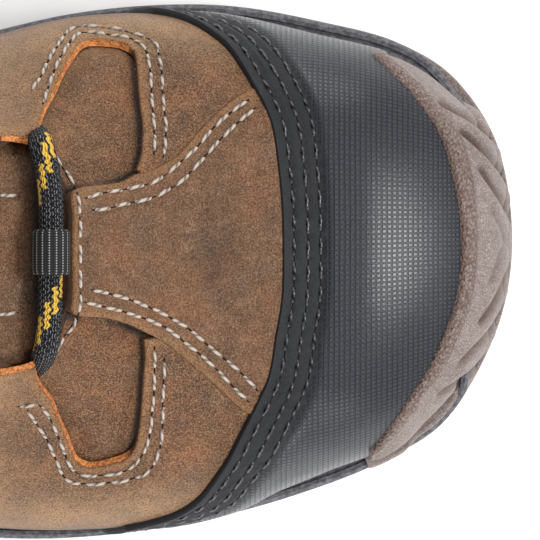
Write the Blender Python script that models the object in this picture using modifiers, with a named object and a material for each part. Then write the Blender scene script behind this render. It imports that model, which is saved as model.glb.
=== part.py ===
"""Composite toe work boot for the right foot, standing on its sole.

Metres, +Z up. The toe points along +X and the inner side of the foot lies along +Y.
The upper is one surface read by two numbers: v runs round the boot (0 at the toe, 1 at the back of
the heel, positive on the inner side, negative on the outer side) and t runs from the sole (0) to
the topline (1). Every panel is cut from that same surface.
"""

import math

import bmesh
import bpy
import numpy as np
from mathutils import Vector
from mathutils.geometry import delaunay_2d_cdt

MM = 0.001
GAP = 0.35

# Driving sizes, in millimetres
LENGTH = 312.0
HALF_LENGTH = LENGTH / 2
HEEL_LIFT = 24.0
FOREFOOT_SOLE = 11.5
HEEL_SEAT = 41.0
FOREFOOT_SEAT = 27.0
PARTING_TOE_RISE = 15.0
SEAT_TOE_RISE = 9.0
TOE_SPRING = 14.0
TOE_SPRING_START = 92.0
HEEL_BEVEL = 5.0
HEEL_BEVEL_START = -142.0
RISE_BACK = -66.0
RISE_FRONT = 34.0
AXIS_HEEL_Y = -3.0
AXIS_TOE_Y = 7.0
WALL = 2.4
QUARTER_THICK = 1.5
VAMP_THICK = 2.1
CAP_THICK = 2.7
STRIP_THICK = 2.0
BUMPER_THICK = 5.2
TONGUE_THICK = 4.0
INSOLE_THICK = 4.0
INSOLE_CLEAR = 1.0
LACE_RADIUS = 2.4

# Ground outline of the sole: place round the boot, inner side x and y, outer side x and y
OUTLINE_ROWS = (
    # s, inner x, inner y, outer x, outer y
    (0.000, 156.0, 7.0, 156.0, 7.0),
    (0.050, 153.0, 27.0, 153.0, -12.0),
    (0.100, 144.5, 41.2, 143.0, -31.0),
    (0.160, 131.0, 50.3, 128.0, -41.7),
    (0.220, 114.0, 55.0, 109.0, -49.3),
    (0.300, 90.0, 58.8, 82.0, -56.2),
    (0.380, 62.0, 57.3, 54.0, -59.1),
    (0.460, 34.0, 51.0, 26.0, -57.5),
    (0.550, 0.0, 42.0, -6.0, -52.0),
    (0.640, -36.0, 37.5, -40.0, -47.5),
    (0.730, -74.0, 37.5, -76.0, -44.5),
    (0.810, -106.0, 38.5, -107.0, -44.0),
    (0.880, -132.0, 34.0, -133.0, -39.5),
    (0.945, -149.5, 20.0, -150.0, -26.0),
    (1.000, -156.0, -3.0, -156.0, -3.0),
)

# Topline of the upper: the throat at the front, then the eyestays, then the collar
TOPLINE_ROWS = (
    # s, x, half width, z
    (0.00, 58.5, 0.0, 96.0),
    (0.22, 58.5, 11.0, 95.0),
    (0.30, 57.5, 15.5, 93.5),
    (0.36, 51.0, 22.0, 92.5),
    (0.42, 38.0, 24.0, 99.0),
    (0.50, 15.0, 24.5, 114.0),
    (0.58, -10.0, 25.0, 133.0),
    (0.66, -33.0, 27.0, 155.0),
    (0.72, -46.0, 31.0, 168.0),
    (0.78, -62.0, 36.0, 173.0),
    (0.85, -88.0, 38.0, 169.0),
    (0.92, -116.0, 31.0, 165.0),
    (0.96, -130.0, 19.0, 166.0),
    (1.00, -137.0, 0.0, 167.0),
)

# Ribs of the last, from the sole up to the topline
RIB_ROWS = (
    # s, inner inset, outer inset, wall height, lean outwards, crown length, crown slope, fullness
    (0.00, 7.5, 7.5, 45.0, 6.0, 61.0, 38.0, 1.5),
    (0.16, 8.0, 7.0, 43.0, 6.0, 48.0, 40.0, 1.5),
    (0.22, 8.4, 6.0, 42.0, 6.5, 40.0, 42.0, 1.5),
    (0.30, 7.4, 5.0, 41.0, 7.0, 34.0, 48.0, 1.4),
    (0.36, 6.2, 6.0, 40.0, 8.0, 30.0, 55.0, 1.3),
    (0.50, 6.5, 6.5, 40.0, 6.0, 35.0, 72.0, 1.1),
    (0.66, 6.5, 6.5, 40.0, 4.0, 45.0, 82.0, 1.0),
    (0.80, 6.5, 6.5, 45.0, 3.0, 45.0, 90.0, 1.0),
    (1.00, 6.5, 6.5, 45.0, 4.0, 45.0, 86.0, 1.0),
)

# Edges of the panels on the last: s and t of each corner, from the toe's middle towards the heel
CAP_EDGE_INNER = (
    (0.0, 0.70), (0.08, 0.665), (0.177, 0.55), (0.24, 0.41), (0.273, 0.335), (0.303, 0.275), (0.335, 0.24),
    (0.358, 0.13), (0.368, 0.006),
)
CAP_EDGE_OUTER = (
    (0.0, 0.70), (0.06, 0.68), (0.145, 0.595), (0.198, 0.50), (0.242, 0.385), (0.272, 0.32), (0.305, 0.265),
    (0.335, 0.14), (0.35, 0.006),
)
BUMPER_EDGE_INNER = ((0.0, 0.24), (0.05, 0.24), (0.09, 0.225), (0.14, 0.185), (0.165, 0.12), (0.18, 0.03))
BUMPER_EDGE_OUTER = ((0.0, 0.24), (0.04, 0.235), (0.083, 0.22), (0.12, 0.17), (0.15, 0.10), (0.168, 0.03))
VAMP_EDGE_INNER = (
    (0.243, 0.985), (0.182, 0.90), (0.175, 0.85), (0.179, 0.785), (0.203, 0.675), (0.211, 0.50),
)
VAMP_EDGE_OUTER = (
    (0.250, 0.985), (0.182, 0.92), (0.172, 0.86), (0.171, 0.81), (0.187, 0.705), (0.198, 0.52),
)
NOTCH_INNER = ((0.194, 0.865), (0.245, 0.79), (0.292, 0.685), (0.328, 0.485), (0.357, 0.425), (0.370, 0.44),
               (0.373, 0.725), (0.366, 0.985))
NOTCH_OUTER = ((0.184, 0.850), (0.240, 0.77), (0.287, 0.605), (0.307, 0.52), (0.342, 0.535), (0.347, 0.655),
               (0.351, 0.825), (0.361, 0.985))
STRIP_FRONT = 0.955
SIDE_LIFT = 0.6
BUMPER_LIFT = 0.8
PANEL_FOOT = 0.006
PANEL_TOP = 0.985
SEAM = 0.005
CAP_TUCK = 0.012
CAP_FOOT_SPREAD = 0.01
NOTCH_CLEAR = 0.02

# How a panel is meshed: longest stretch of border, rough length of v and t, and room inside the border
BORDER_STEP = 0.028
FLAT_SIZE = (400.0, 110.0)
BORDER_ROOM = 3.0

# Bumper: how its thickness falls from the foot to the top edge, and how its ends and skirt lie
BUMPER_SHARES = (1.0, 1.0, 0.96, 0.88, 0.78, 0.55)
BUMPER_END_THICK = 2.2
BUMPER_END_GROWTH = 60.0
BUMPER_END_TOP = 0.03
BUMPER_BACK = 0.8
BUMPER_FRONT = 0.1
BUMPER_SKIRT = 2.0
BUMPER_END_ROOM = 0.004

# Steps and ribs of the sole's side: share of the height, then how far in it lies
OUTSOLE_STEPS = (
    (0.0, 3.0), (0.14, 0.6), (0.40, 0.0), (0.46, 1.4), (0.58, 1.4), (0.64, 0.0), (0.93, 0.0), (1.0, 0.8),
)
MIDSOLE_STEPS = (
    (0.0, 1.8), (0.10, 1.3), (0.38, 1.3), (0.45, 2.4), (0.58, 2.4), (0.65, 1.3), (0.94, 1.3), (1.0, 1.9),
)
MIDSOLE_TOE_SETBACK = 5.4
SETBACK_FROM, SETBACK_TO = 0.10, 0.19

# Arch hollow under the waist, in side view, and the grooves between the lugs
ARCH_PROFILE = ((-57.0, -2.0), (-53.0, 9.0), (-30.0, 10.0), (-5.0, 8.0), (10.0, 3.5), (19.0, -2.0))
LUG_GROOVE_WIDTH = 6.0
LUG_GROOVE_DEPTH = 4.5
LUG_GROOVE_TURN = math.radians(13)
LUG_RIB_HALF = 7.0
LUG_REACH = 85.0
LUG_BELOW = 3.0
CUT_HALF_WIDTH = 90.0
LUG_PLACES = tuple(range(-138, -64, 17)) + tuple(range(31, 150, 17))

# Lacing: eyelets along each eyestay, and the bar and keeper at the throat
EYELET_PLACES = (0.43, 0.50, 0.57, 0.64)
EYELET_HEIGHT = 0.90
EYELET_RING, EYELET_WIRE, EYELET_FLAT = 4.2, 1.3, 0.6
EYELET_CLEAR = 0.55
LACE_CLEAR = 0.3
LACE_ARCH = 6.6
LACE_EDGE = 0.985
LACE_REACH = 0.62
LACE_TUCK = 5.0
LACE_LEAD = 0.15
BAR_X = 53.4
BAR_INNER_Y, BAR_OUTER_Y = 20.5, -13.0
BAR_END_Z, BAR_MIDDLE_Z = 94.2, 96.6
KEEPER_HALF_WIDTH = 4.6
KEEPER_MIDDLE_Y = 4.0
KEEPER_THICK = 1.1
KEEPER_LEG = 2.4
KEEPER_CLEAR = 0.1

# Tongue: places up the throat, rise across the middle and reach above the collar
TONGUE_PLACES = (0.345, 0.40, 0.46, 0.52, 0.58, 0.64, 0.69)
TONGUE_RISE = 3.0
TONGUE_CLEAR = 0.6
TONGUE_TOP = 12.0
TONGUE_TUCK = 0.30
TONGUE_TUCK_HEIGHTS = (0.91, 0.965)
TONGUE_UNDER_HEIGHTS = (0.84, 0.92, 0.985)
TONGUE_COLUMNS = 9

EDGE_POINTS = 3
COLUMNS_EACH_SIDE = 30
ROWS = 11
TOE_CROWDING = 0.34


class Loop:
    """Smooth closed curve of table values, read by the place v round the boot."""

    def __init__(self, inner_rows, outer_rows):
        """Join the two sides' rows, each starting with its s, into one ring of knots."""
        ring = {row[0]: row[1:] for row in inner_rows}
        ring.update({-row[0]: row[1:] for row in outer_rows if 0.0 < row[0] < 1.0})
        knots = np.array(sorted(ring))
        values = np.array([ring[knot] for knot in knots], dtype=float)
        if knots[-1] == 1.0:
            knots, values = knots[:-1], values[:-1]
            knots = np.concatenate(([-1.0], knots))
            values = np.concatenate(([ring[1.0]], values))
        self.knots = np.concatenate((knots - 2.0, knots, knots + 2.0))
        self.values = np.concatenate((values, values, values))
        steps = np.diff(self.knots)[:, None]
        rises = np.diff(self.values, axis=0) / steps
        inside = (rises[1:] * steps[:-1] + rises[:-1] * steps[1:]) / (steps[1:] + steps[:-1])
        self.slopes = np.concatenate((rises[:1], inside, rises[-1:]))

    def at(self, v):
        """Values at v, one row for each."""
        v = np.asarray(v, dtype=float)
        i = np.clip(np.searchsorted(self.knots, v, side="right") - 1, 0, len(self.knots) - 2)
        step = self.knots[i + 1] - self.knots[i]
        f = ((v - self.knots[i]) / step)[..., None]
        step = step[..., None]
        rise_in = (f**3 - 2 * f**2 + f) * step * self.slopes[i]
        rise_out = (f**3 - f**2) * step * self.slopes[i + 1]
        start = (2 * f**3 - 3 * f**2 + 1) * self.values[i]
        end = (3 * f**2 - 2 * f**3) * self.values[i + 1]
        return start + rise_in + end + rise_out


def axis_y(x):
    """Y of the foot's own middle line, which curves in towards the toe."""
    return AXIS_HEEL_Y + (x + HALF_LENGTH) * (AXIS_TOE_Y - AXIS_HEEL_Y) / LENGTH


OUTLINE = Loop([row[:3] for row in OUTLINE_ROWS], [(row[0], row[3], row[4]) for row in OUTLINE_ROWS])
TOPLINE = Loop(
    [(s, x, axis_y(x) + half, z) for s, x, half, z in TOPLINE_ROWS],
    [(s, x, axis_y(x) - half, z) for s, x, half, z in TOPLINE_ROWS],
)
RIB = Loop(
    [(row[0], row[1]) + row[3:] for row in RIB_ROWS],
    [(row[0], row[2]) + row[3:] for row in RIB_ROWS],
)


def ease(x, start, end):
    """Smooth step from 0 at start to 1 at end."""
    f = np.clip((x - start) / (end - start), 0.0, 1.0)
    return f * f * (3 - 2 * f)


def toe_rise(x):
    """Share of the toe's lift at x: nothing at the ball, 1 at the tip."""
    return np.clip((x - TOE_SPRING_START) / (HALF_LENGTH - TOE_SPRING_START), 0.0, None) ** 2


def ground_height(x):
    """Underside of the tread, before the arch is cut: flat but for the toe and the heel's back."""
    back = np.clip((HEEL_BEVEL_START - x) / (HALF_LENGTH + HEEL_BEVEL_START), 0.0, None)
    return TOE_SPRING * toe_rise(x) + HEEL_BEVEL * back**2


def parting_height(x):
    """Line where the outsole meets the midsole."""
    drop = (FOREFOOT_SOLE - HEEL_LIFT) * ease(x, RISE_BACK, RISE_FRONT)
    return HEEL_LIFT + drop + PARTING_TOE_RISE * toe_rise(x)


def seat_height(x):
    """Top of the midsole, where the upper stands."""
    drop = (FOREFOOT_SEAT - HEEL_SEAT) * ease(x, RISE_BACK, RISE_FRONT)
    return HEEL_SEAT + drop + SEAT_TOE_RISE * toe_rise(x)


def outline(v, inset):
    """Plan points of the sole's outline, moved in by inset."""
    step = 1e-3
    along = OUTLINE.at(np.asarray(v) + step) - OUTLINE.at(np.asarray(v) - step)
    along /= np.linalg.norm(along, axis=-1, keepdims=True)
    out = np.stack((along[..., 1], -along[..., 0]), axis=-1)
    return OUTLINE.at(v) - out * np.asarray(inset)[..., None], out


def surface(v, t):
    """Points of the upper's outer face, in millimetres."""
    v, t = np.broadcast_arrays(np.asarray(v, dtype=float), np.asarray(t, dtype=float))
    inset, wall, lean, crown, slope, full = np.moveaxis(RIB.at(v), -1, 0)
    foot, out = outline(v, inset)
    top = TOPLINE.at(v)
    low = np.concatenate((foot, (seat_height(foot[..., 0]) + GAP)[..., None]), axis=-1)
    away = foot - top[..., :2]
    away /= np.linalg.norm(away, axis=-1, keepdims=True)
    slope = np.radians(slope)
    shoulder = low + np.concatenate((out * lean[..., None], wall[..., None]), axis=-1)
    level, fall = crown * np.cos(slope), -crown * np.sin(slope)
    reach = np.concatenate((away * level[..., None], fall[..., None]), axis=-1)
    b0 = (1 - t) ** 3
    b1 = 3 * t * (1 - t) ** 2 * full
    b2 = 3 * t**2 * (1 - t) * full
    b3 = t**3
    total = b0 + b1 + b2 + b3
    mix = [weight[..., None] * point for weight, point in
           ((b0, low), (b1, shoulder), (b2, top + reach), (b3, top))]
    return sum(mix) / total[..., None]


def normal(v, t):
    """Outward unit normals of the upper."""
    step = 1e-3
    t = np.asarray(t, dtype=float)
    round_boot = surface(np.asarray(v) + step, t) - surface(np.asarray(v) - step, t)
    upward = surface(v, np.minimum(t + step, 1.0)) - surface(v, np.maximum(t - step, 0.0))
    out = np.cross(round_boot, upward)
    return out / np.linalg.norm(out, axis=-1, keepdims=True)


def raised(v, t, lift):
    """Points that stand off the upper by lift."""
    return surface(v, t) + normal(v, t) * np.asarray(lift)[..., None]


def side_columns():
    """Places from the toe to the heel, closer together where the outline turns."""
    f = np.linspace(0.0, 1.0, COLUMNS_EACH_SIDE + 1)
    return f - TOE_CROWDING * np.sin(2 * math.pi * f) / (2 * math.pi)


def ring_columns():
    """Places all round the boot, from the outer side of the heel by the toe to the heel's back."""
    side = side_columns()
    return np.concatenate((-side[-2:0:-1], side))


def material(name, colour, roughness, metallic=0.0):
    """Plain finish for one sub-part."""
    finish = bpy.data.materials.new(name)
    finish.use_nodes = True
    shader = finish.node_tree.nodes["Principled BSDF"]
    shader.inputs["Base Color"].default_value = (*colour, 1.0)
    shader.inputs["Roughness"].default_value = roughness
    shader.inputs["Metallic"].default_value = metallic
    return finish


def add_object(name, points, faces, finish, collection, smooth=True):
    """New object from points in millimetres."""
    mesh = bpy.data.meshes.new(name)
    mesh.from_pydata([tuple(point * MM) for point in np.asarray(points, dtype=float)], [], faces)
    if finish is not None:
        mesh.materials.append(finish)
    if smooth:
        mesh.shade_smooth()
        mesh.set_sharp_from_angle(angle=math.radians(40))
    made = bpy.data.objects.new(name, mesh)
    collection.objects.link(made)
    return made


def solidify(made, thickness, offset):
    """Give an open surface its wall: offset -1 grows inwards, +1 outwards."""
    wall = made.modifiers.new("wall", "SOLIDIFY")
    wall.thickness = thickness * MM
    wall.offset = offset
    wall.use_even_offset = False


def grid_faces(rows, columns, closed):
    """Quads of a grid whose points run along each row; closed joins the last column to the first."""
    last = columns if closed else columns - 1
    faces = []
    for row in range(rows - 1):
        for column in range(last):
            after = (column + 1) % columns
            low, high = row * columns, (row + 1) * columns
            faces.append((low + column, low + after, high + after, high + column))
    return faces


def slab(name, levels, finish, collection):
    """Closed solid from rings of equal count, one above the other, capped across the foot."""
    count = len(levels[0])
    faces = grid_faces(len(levels), count, True)
    toe = COLUMNS_EACH_SIDE - 1
    top = (len(levels) - 1) * count
    for step in range(COLUMNS_EACH_SIDE):
        inner, outer = toe + step, toe - step
        next_inner, next_outer = (toe + step + 1) % count, (toe - step - 1) % count
        corners = [outer, inner, next_inner, next_outer]
        corners = [c for i, c in enumerate(corners) if c not in corners[:i]]
        faces.append(tuple(reversed(corners)))
        faces.append(tuple(top + c for c in corners))
    return add_object(name, np.concatenate(levels), faces, finish, collection)


def sole_rings(steps, low, high, setback):
    """Rings of a sole layer: its side steps in and out between the heights low and high."""
    v = ring_columns()
    rings = []
    for share, inset in steps:
        plan, _ = outline(v, np.full(len(v), inset) + setback(v))
        bottom, top = low(plan[:, 0]), high(plan[:, 0])
        rings.append(np.column_stack((plan, bottom + share * (top - bottom))))
    return rings


def no_setback(v):
    """A layer that follows the outline all the way round."""
    return np.zeros(len(v))


def toe_setback(v):
    """How far the midsole stands back at the toe, where the bumper comes down in front of it."""
    return MIDSOLE_TOE_SETBACK * (1.0 - ease(np.abs(v), SETBACK_FROM, SETBACK_TO))


def cutter(name, points, faces, collection):
    """Closed form that is only cut away from another."""
    made = add_object(name, points, faces, None, collection, smooth=False)
    made.hide_render = True
    made.display_type = "WIRE"
    return made


def cut(made, tool, operation="DIFFERENCE"):
    """Boolean of one object by another."""
    step = made.modifiers.new(tool.name, "BOOLEAN")
    step.operation = operation
    step.solver = "EXACT"
    step.object = tool


def prism(profile, half_width):
    """Points and faces of a side-view profile drawn out across the boot."""
    count = len(profile)
    points = [(x, side * half_width, z) for side in (1, -1) for x, z in profile]
    faces = [tuple(range(count)), tuple(reversed(range(count, 2 * count)))]
    for i in range(count):
        j = (i + 1) % count
        faces.append((j, i, count + i, count + j))
    return points, faces


def lug_grooves():
    """Points and faces of the grooves, a slanted pair at each place along the tread."""
    points, faces = [], []
    for x in LUG_PLACES:
        low, high = ground_height(x) - LUG_BELOW, ground_height(x) + LUG_GROOVE_DEPTH
        for side in (1, -1):
            along = np.array((-math.sin(LUG_GROOVE_TURN), side * math.cos(LUG_GROOVE_TURN)))
            across = np.array((along[1], -along[0])) * LUG_GROOVE_WIDTH / 2 * side
            root = np.array((x, axis_y(x) + side * LUG_RIB_HALF))
            tip = root + along * LUG_REACH
            plan = (root - across, root + across, tip + across, tip - across)
            if side < 0:
                plan = plan[::-1]
            first = len(points)
            points += [(*corner, z) for z in (low, high) for corner in plan]
            faces.append(tuple(first + i for i in (3, 2, 1, 0)))
            faces.append(tuple(first + i for i in (4, 5, 6, 7)))
            for i in range(4):
                j = (i + 1) % 4
                faces.append((first + i, first + j, first + 4 + j, first + 4 + i))
    return points, faces


def build_outsole(parts, cutters, finish):
    """Rubber tread with its ribbed side, raised arch and lugs."""
    def top(x):
        return parting_height(x) - GAP

    made = slab("outsole", sole_rings(OUTSOLE_STEPS, ground_height, top, no_setback), finish, parts)
    cut(made, cutter("arch_cutter", *prism(ARCH_PROFILE, CUT_HALF_WIDTH), cutters))
    cut(made, cutter("lug_cutter", *lug_grooves(), cutters))


def build_midsole(parts, finish):
    """Dark foam layer between the tread and the upper."""
    slab("midsole", sole_rings(MIDSOLE_STEPS, parting_height, seat_height, toe_setback), finish, parts)


def build_insole(parts, finish):
    """Footbed inside the upper, clear of its wall."""
    v = ring_columns()
    plan, _ = outline(v, RIB.at(v)[:, 0] + WALL + INSOLE_CLEAR)
    seat = seat_height(plan[:, 0]) + GAP
    slab("insole", [np.column_stack((plan, seat + rise)) for rise in (0.0, INSOLE_THICK)], finish, parts)


def build_upper(parts, finish):
    """Hollow shell of the whole upper, open at the topline and underneath."""
    v = ring_columns()
    t = np.linspace(0.0, 1.0, ROWS)
    points = surface(v[None, :], t[:, None])
    made = add_object("upper", points.reshape(-1, 3), grid_faces(ROWS, len(v), True), finish, parts)
    solidify(made, WALL, -1)


def smooth_route(places, each=4):
    """Places on a smooth curve through the given ones."""
    places = np.asarray(places, dtype=float)
    ends = np.concatenate((2 * places[:1] - places[1:2], places, 2 * places[-1:] - places[-2:-1]))
    route = []
    for a, b, c, d in zip(ends, ends[1:], ends[2:], ends[3:]):
        for f in np.arange(each) / each:
            bend = (2 * a - 5 * b + 4 * c - d) * f**2 + (3 * b - a - 3 * c + d) * f**3
            route.append(b + ((c - a) * f + bend) / 2)
    return np.array(route + [places[-1]])


def mirrored(rows):
    """The same corners on the outer side, where v is negative."""
    return [(-s, t) for s, t in rows]


def full_edge(inner, outer, lift=0.0):
    """An edge from the outer side over the toe to the inner side, moved up the last by lift."""
    rows = smooth_route(mirrored(outer)[:0:-1] + list(inner), EDGE_POINTS)
    return [(v, t + lift) for v, t in rows]


def side_edge(rows):
    """A one-sided edge with its corners rounded off."""
    return [(s, t) for s, t in smooth_route(rows, EDGE_POINTS)]


def along_edge(border, longest=BORDER_STEP):
    """The border with extra corners, so that no stretch of it is long."""
    dense = []
    for (v0, t0), (v1, t1) in zip(border, border[1:] + border[:1]):
        count = max(1, math.ceil(max(abs(v1 - v0) / longest, abs(t1 - t0) / (4 * longest))))
        dense += [(v0 + (v1 - v0) * i / count, t0 + (t1 - t0) * i / count) for i in range(count)]
    return np.array(dense)


def inside_border(border, v, t):
    """Whether a place lies inside a closed border, by counting crossings."""
    v1, t1 = border[:, 0], border[:, 1]
    v2, t2 = np.roll(v1, -1), np.roll(t1, -1)
    crosses = (t1 > t) != (t2 > t)
    with np.errstate(divide="ignore", invalid="ignore"):
        where = v1 + (t - t1) * (v2 - v1) / (t2 - t1)
    return np.count_nonzero(crosses & (v < where)) % 2 == 1


def panel(name, border, thickness, finish, parts, lift=GAP):
    """Overlay cut from the upper's own surface inside a closed border of (v, t) corners."""
    flat = np.array(FLAT_SIZE)
    ring = along_edge(border)
    side = side_columns()
    columns = np.concatenate((-side[:0:-1], side, 2.0 - side[-2:0:-1]))
    inside = [(v, t) for v in columns for t in np.linspace(0.0, 1.0, ROWS)
              if inside_border(ring, v, t)
              and np.min(np.linalg.norm((ring - (v, t)) * flat, axis=1)) > BORDER_ROOM]
    places = [Vector(place * flat) for place in np.array(list(ring) + inside)]
    corners, _, faces, *_ = delaunay_2d_cdt(places, [], [list(range(len(ring)))], 1, 1e-5)
    places = np.array(corners) / flat
    points = raised(places[:, 0], places[:, 1], np.full(len(places), lift))
    made = add_object(name, points, [tuple(face) for face in faces], finish, parts)
    solidify(made, thickness, 1)


def cap_border():
    """The cap reaches from the bumper, or the sole beside it, up to its sewn edge."""
    top = full_edge(CAP_EDGE_INNER, CAP_EDGE_OUTER)
    foot = full_edge(BUMPER_EDGE_INNER, BUMPER_EDGE_OUTER, CAP_TUCK)
    start = [(foot[0][0] - CAP_FOOT_SPREAD, PANEL_FOOT)]
    end = [(foot[-1][0] + CAP_FOOT_SPREAD, PANEL_FOOT)]
    return start + foot + end + top[::-1]


def vamp_border():
    """Middle panel between the cap and the throat."""
    edge = full_edge(CAP_EDGE_INNER, CAP_EDGE_OUTER, SEAM)
    inner, outer = side_edge(VAMP_EDGE_INNER), mirrored(side_edge(VAMP_EDGE_OUTER))
    front = [(v, t) for v, t in edge if outer[-1][0] + SEAM < v < inner[-1][0] - SEAM]
    return front + inner[::-1] + outer


def quarter_border(cap_edge, vamp_edge, notch):
    """Side panel from the cap to the back strip, cut away at the notch beside the vamp."""
    start = vamp_edge[-1][0] + 2 * SEAM
    cap = [(s + SEAM, t + SEAM) for s, t in side_edge(cap_edge) if s > start]
    cap[-1] = (cap[-1][0] + SEAM, PANEL_FOOT)
    vamp = [(s + SEAM, t) for s, t in side_edge(vamp_edge) if t < notch[0][1] - NOTCH_CLEAR]
    back = [(STRIP_FRONT - SEAM, PANEL_FOOT), (STRIP_FRONT - SEAM, PANEL_TOP)]
    return vamp + cap + back + side_edge(notch)[::-1]


def build_panels(parts, finishes):
    """Everything that is sewn or moulded over the upper."""
    panel("toe_cap", cap_border(), CAP_THICK, finishes["cap"], parts)
    panel("vamp_panel", vamp_border(), VAMP_THICK, finishes["leather"], parts)
    inner = quarter_border(CAP_EDGE_INNER, VAMP_EDGE_INNER, NOTCH_INNER)
    outer = quarter_border(CAP_EDGE_OUTER, VAMP_EDGE_OUTER, NOTCH_OUTER)
    panel("quarter_inner", inner, QUARTER_THICK, finishes["leather"], parts, lift=SIDE_LIFT)
    panel("quarter_outer", mirrored(outer)[::-1], QUARTER_THICK, finishes["leather"], parts, lift=SIDE_LIFT)
    strip = [(STRIP_FRONT, PANEL_FOOT), (2 - STRIP_FRONT, PANEL_FOOT),
             (2 - STRIP_FRONT, PANEL_TOP), (STRIP_FRONT, PANEL_TOP)]
    panel("back_strip", strip, STRIP_THICK, finishes["leather"], parts, lift=SIDE_LIFT)


def build_bumper(parts, finish):
    """Rubber toe bumper: over the front of the cap's line, down in front of the midsole to the tread."""
    edge = np.array(full_edge(BUMPER_EDGE_INNER, BUMPER_EDGE_OUTER))
    side = side_columns()
    columns = np.concatenate((-side[:0:-1], side))
    start, end = edge[0, 0] + BUMPER_END_ROOM, edge[-1, 0] - BUMPER_END_ROOM
    columns = columns[(columns > start) & (columns < end)]
    columns = np.concatenate((edge[:1, 0], columns, edge[-1:, 0]))
    shares = np.linspace(0.0, 1.0, len(BUMPER_SHARES))
    rings = []
    for v in columns:
        top = np.interp(v, edge[:, 0], edge[:, 1])
        rows = PANEL_FOOT + (top - PANEL_FOOT) * shares
        back = outline(v, BUMPER_BACK + float(toe_setback(np.array([v]))[0]))[0]
        front = outline(v, BUMPER_FRONT)[0]
        back_foot, front_foot = (parting_height(place[0]) + GAP for place in (back, front))
        seat = seat_height(back[0])
        thick = min(BUMPER_THICK, BUMPER_END_THICK + BUMPER_END_GROWTH * (top - BUMPER_END_TOP))
        inner = raised(v, rows, np.full(len(rows), BUMPER_LIFT))
        outer = raised(v, rows, GAP + thick * np.array(BUMPER_SHARES))
        skirt = [(*front, seat - BUMPER_SKIRT), (*front, front_foot)]
        rings.append([(*back, back_foot), (*back, seat + GAP), *inner, *outer[::-1], *skirt])
    count = len(rings[0])
    faces = grid_faces(len(rings), count, True)
    last = (len(rings) - 1) * count
    faces.append(tuple(reversed(range(count))))
    faces.append(tuple(last + i for i in range(count)))
    add_object("toe_bumper", np.array(rings).reshape(-1, 3), faces, finish, parts)


def throat_up(s):
    """Direction out of the throat at s, square to the line of its two edges along the boot."""
    step = 0.01
    along = surface(s + step, 1.0) + surface(-s - step, 1.0) - surface(s - step, 1.0) - surface(step - s, 1.0)
    out = np.cross(along, surface(-s, 1.0) - surface(s, 1.0))
    return out / np.linalg.norm(out) * np.sign(out[2])


def tongue_row(s):
    """Places across the throat at s: under the inner eyestay, over the middle, under the outer one."""
    drop = -(WALL + TONGUE_CLEAR)
    under = [raised(side * s, t, drop) for side in (1, -1) for t in TONGUE_UNDER_HEIGHTS]
    inner, outer = under[:3], under[5:2:-1]
    chord = np.array(outer[0]) - np.array(inner[2])
    middle = [inner[2] + chord * f + throat_up(s) * TONGUE_RISE * 4 * f * (1 - f) for f in (0.25, 0.5, 0.75)]
    return inner + middle + outer


def build_tongue(parts, finish):
    """Padded tongue under the eyestays, tucked beneath the vamp at its front."""
    drop = -(WALL + TONGUE_CLEAR)
    tuck = np.linspace(TONGUE_TUCK, -TONGUE_TUCK, TONGUE_COLUMNS)
    level = np.ones(TONGUE_COLUMNS)
    rows = [list(raised(tuck, level * t, level * drop)) for t in TONGUE_TUCK_HEIGHTS]
    rows += [tongue_row(s) for s in TONGUE_PLACES]
    lift = np.array(rows[-1]) - np.array(rows[-2])
    lift = lift / np.linalg.norm(lift, axis=1, keepdims=True) * TONGUE_TOP
    rows.append(list(np.array(rows[-1]) + lift))
    faces = [tuple(reversed(face)) for face in grid_faces(len(rows), TONGUE_COLUMNS, False)]
    made = add_object("tongue", np.array(rows).reshape(-1, 3), faces, finish, parts)
    solidify(made, TONGUE_THICK, -1)


def tube(name, route, radius, finish, parts):
    """Round cord along a route, with flat ends."""
    curve = bpy.data.curves.new(name, "CURVE")
    curve.dimensions = "3D"
    curve.bevel_depth = radius * MM
    curve.bevel_resolution = 2
    curve.use_fill_caps = True
    spline = curve.splines.new("POLY")
    spline.points.add(len(route) - 1)
    for point, place in zip(spline.points, route):
        point.co = (*(np.asarray(place) * MM), 1.0)
    curve.materials.append(finish)
    made = bpy.data.objects.new(name, curve)
    parts.objects.link(made)
    return made


def as_mesh(made, collection):
    """The curve as a welded mesh object in its place."""
    bpy.context.view_layer.update()
    evaluated = made.evaluated_get(bpy.context.evaluated_depsgraph_get())
    mesh = bpy.data.meshes.new_from_object(evaluated)
    name = made.name
    bm = bmesh.new()
    bm.from_mesh(mesh)
    bmesh.ops.remove_doubles(bm, verts=bm.verts, dist=1e-6)
    bm.to_mesh(mesh)
    bm.free()
    bpy.data.objects.remove(made)
    solid = bpy.data.objects.new(name, mesh)
    collection.objects.link(solid)
    return solid


def lace_route(side, low, high):
    """One lace run: off an eyelet, over the eyestay's edge, across the tongue to the far edge."""
    ring = SIDE_LIFT + QUARTER_THICK + EYELET_CLEAR + 2 * EYELET_WIRE * EYELET_FLAT
    stand = ring + LACE_RADIUS + LACE_CLEAR
    middle = (low + high) / 2
    near_edge = low + (high - low) * LACE_LEAD
    bridge = (surface(middle, 1.0) + surface(-middle, 1.0)) / 2
    far_edge = (surface(high, 1.0) + surface(-high, 1.0)) / 2
    far_edge = far_edge + (surface(-side * high, 1.0) - far_edge) * LACE_REACH
    return smooth_route([
        raised(side * low, EYELET_HEIGHT, stand),
        raised(side * near_edge, LACE_EDGE, stand),
        bridge + throat_up(middle) * LACE_ARCH,
        far_edge + throat_up(high) * LACE_TUCK,
    ])


def arch_route(start, end, rise, count=7):
    """Places from start to end that bow upwards by rise in the middle."""
    f = np.linspace(0.0, 1.0, count)[:, None]
    return np.asarray(start) * (1 - f) + np.asarray(end) * f + np.array((0, 0, rise)) * 4 * f * (1 - f)


def eyelet_place(side, s, lift):
    """Middle of an eyelet, standing off the last by lift."""
    return raised(side * s, EYELET_HEIGHT, lift)


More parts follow.
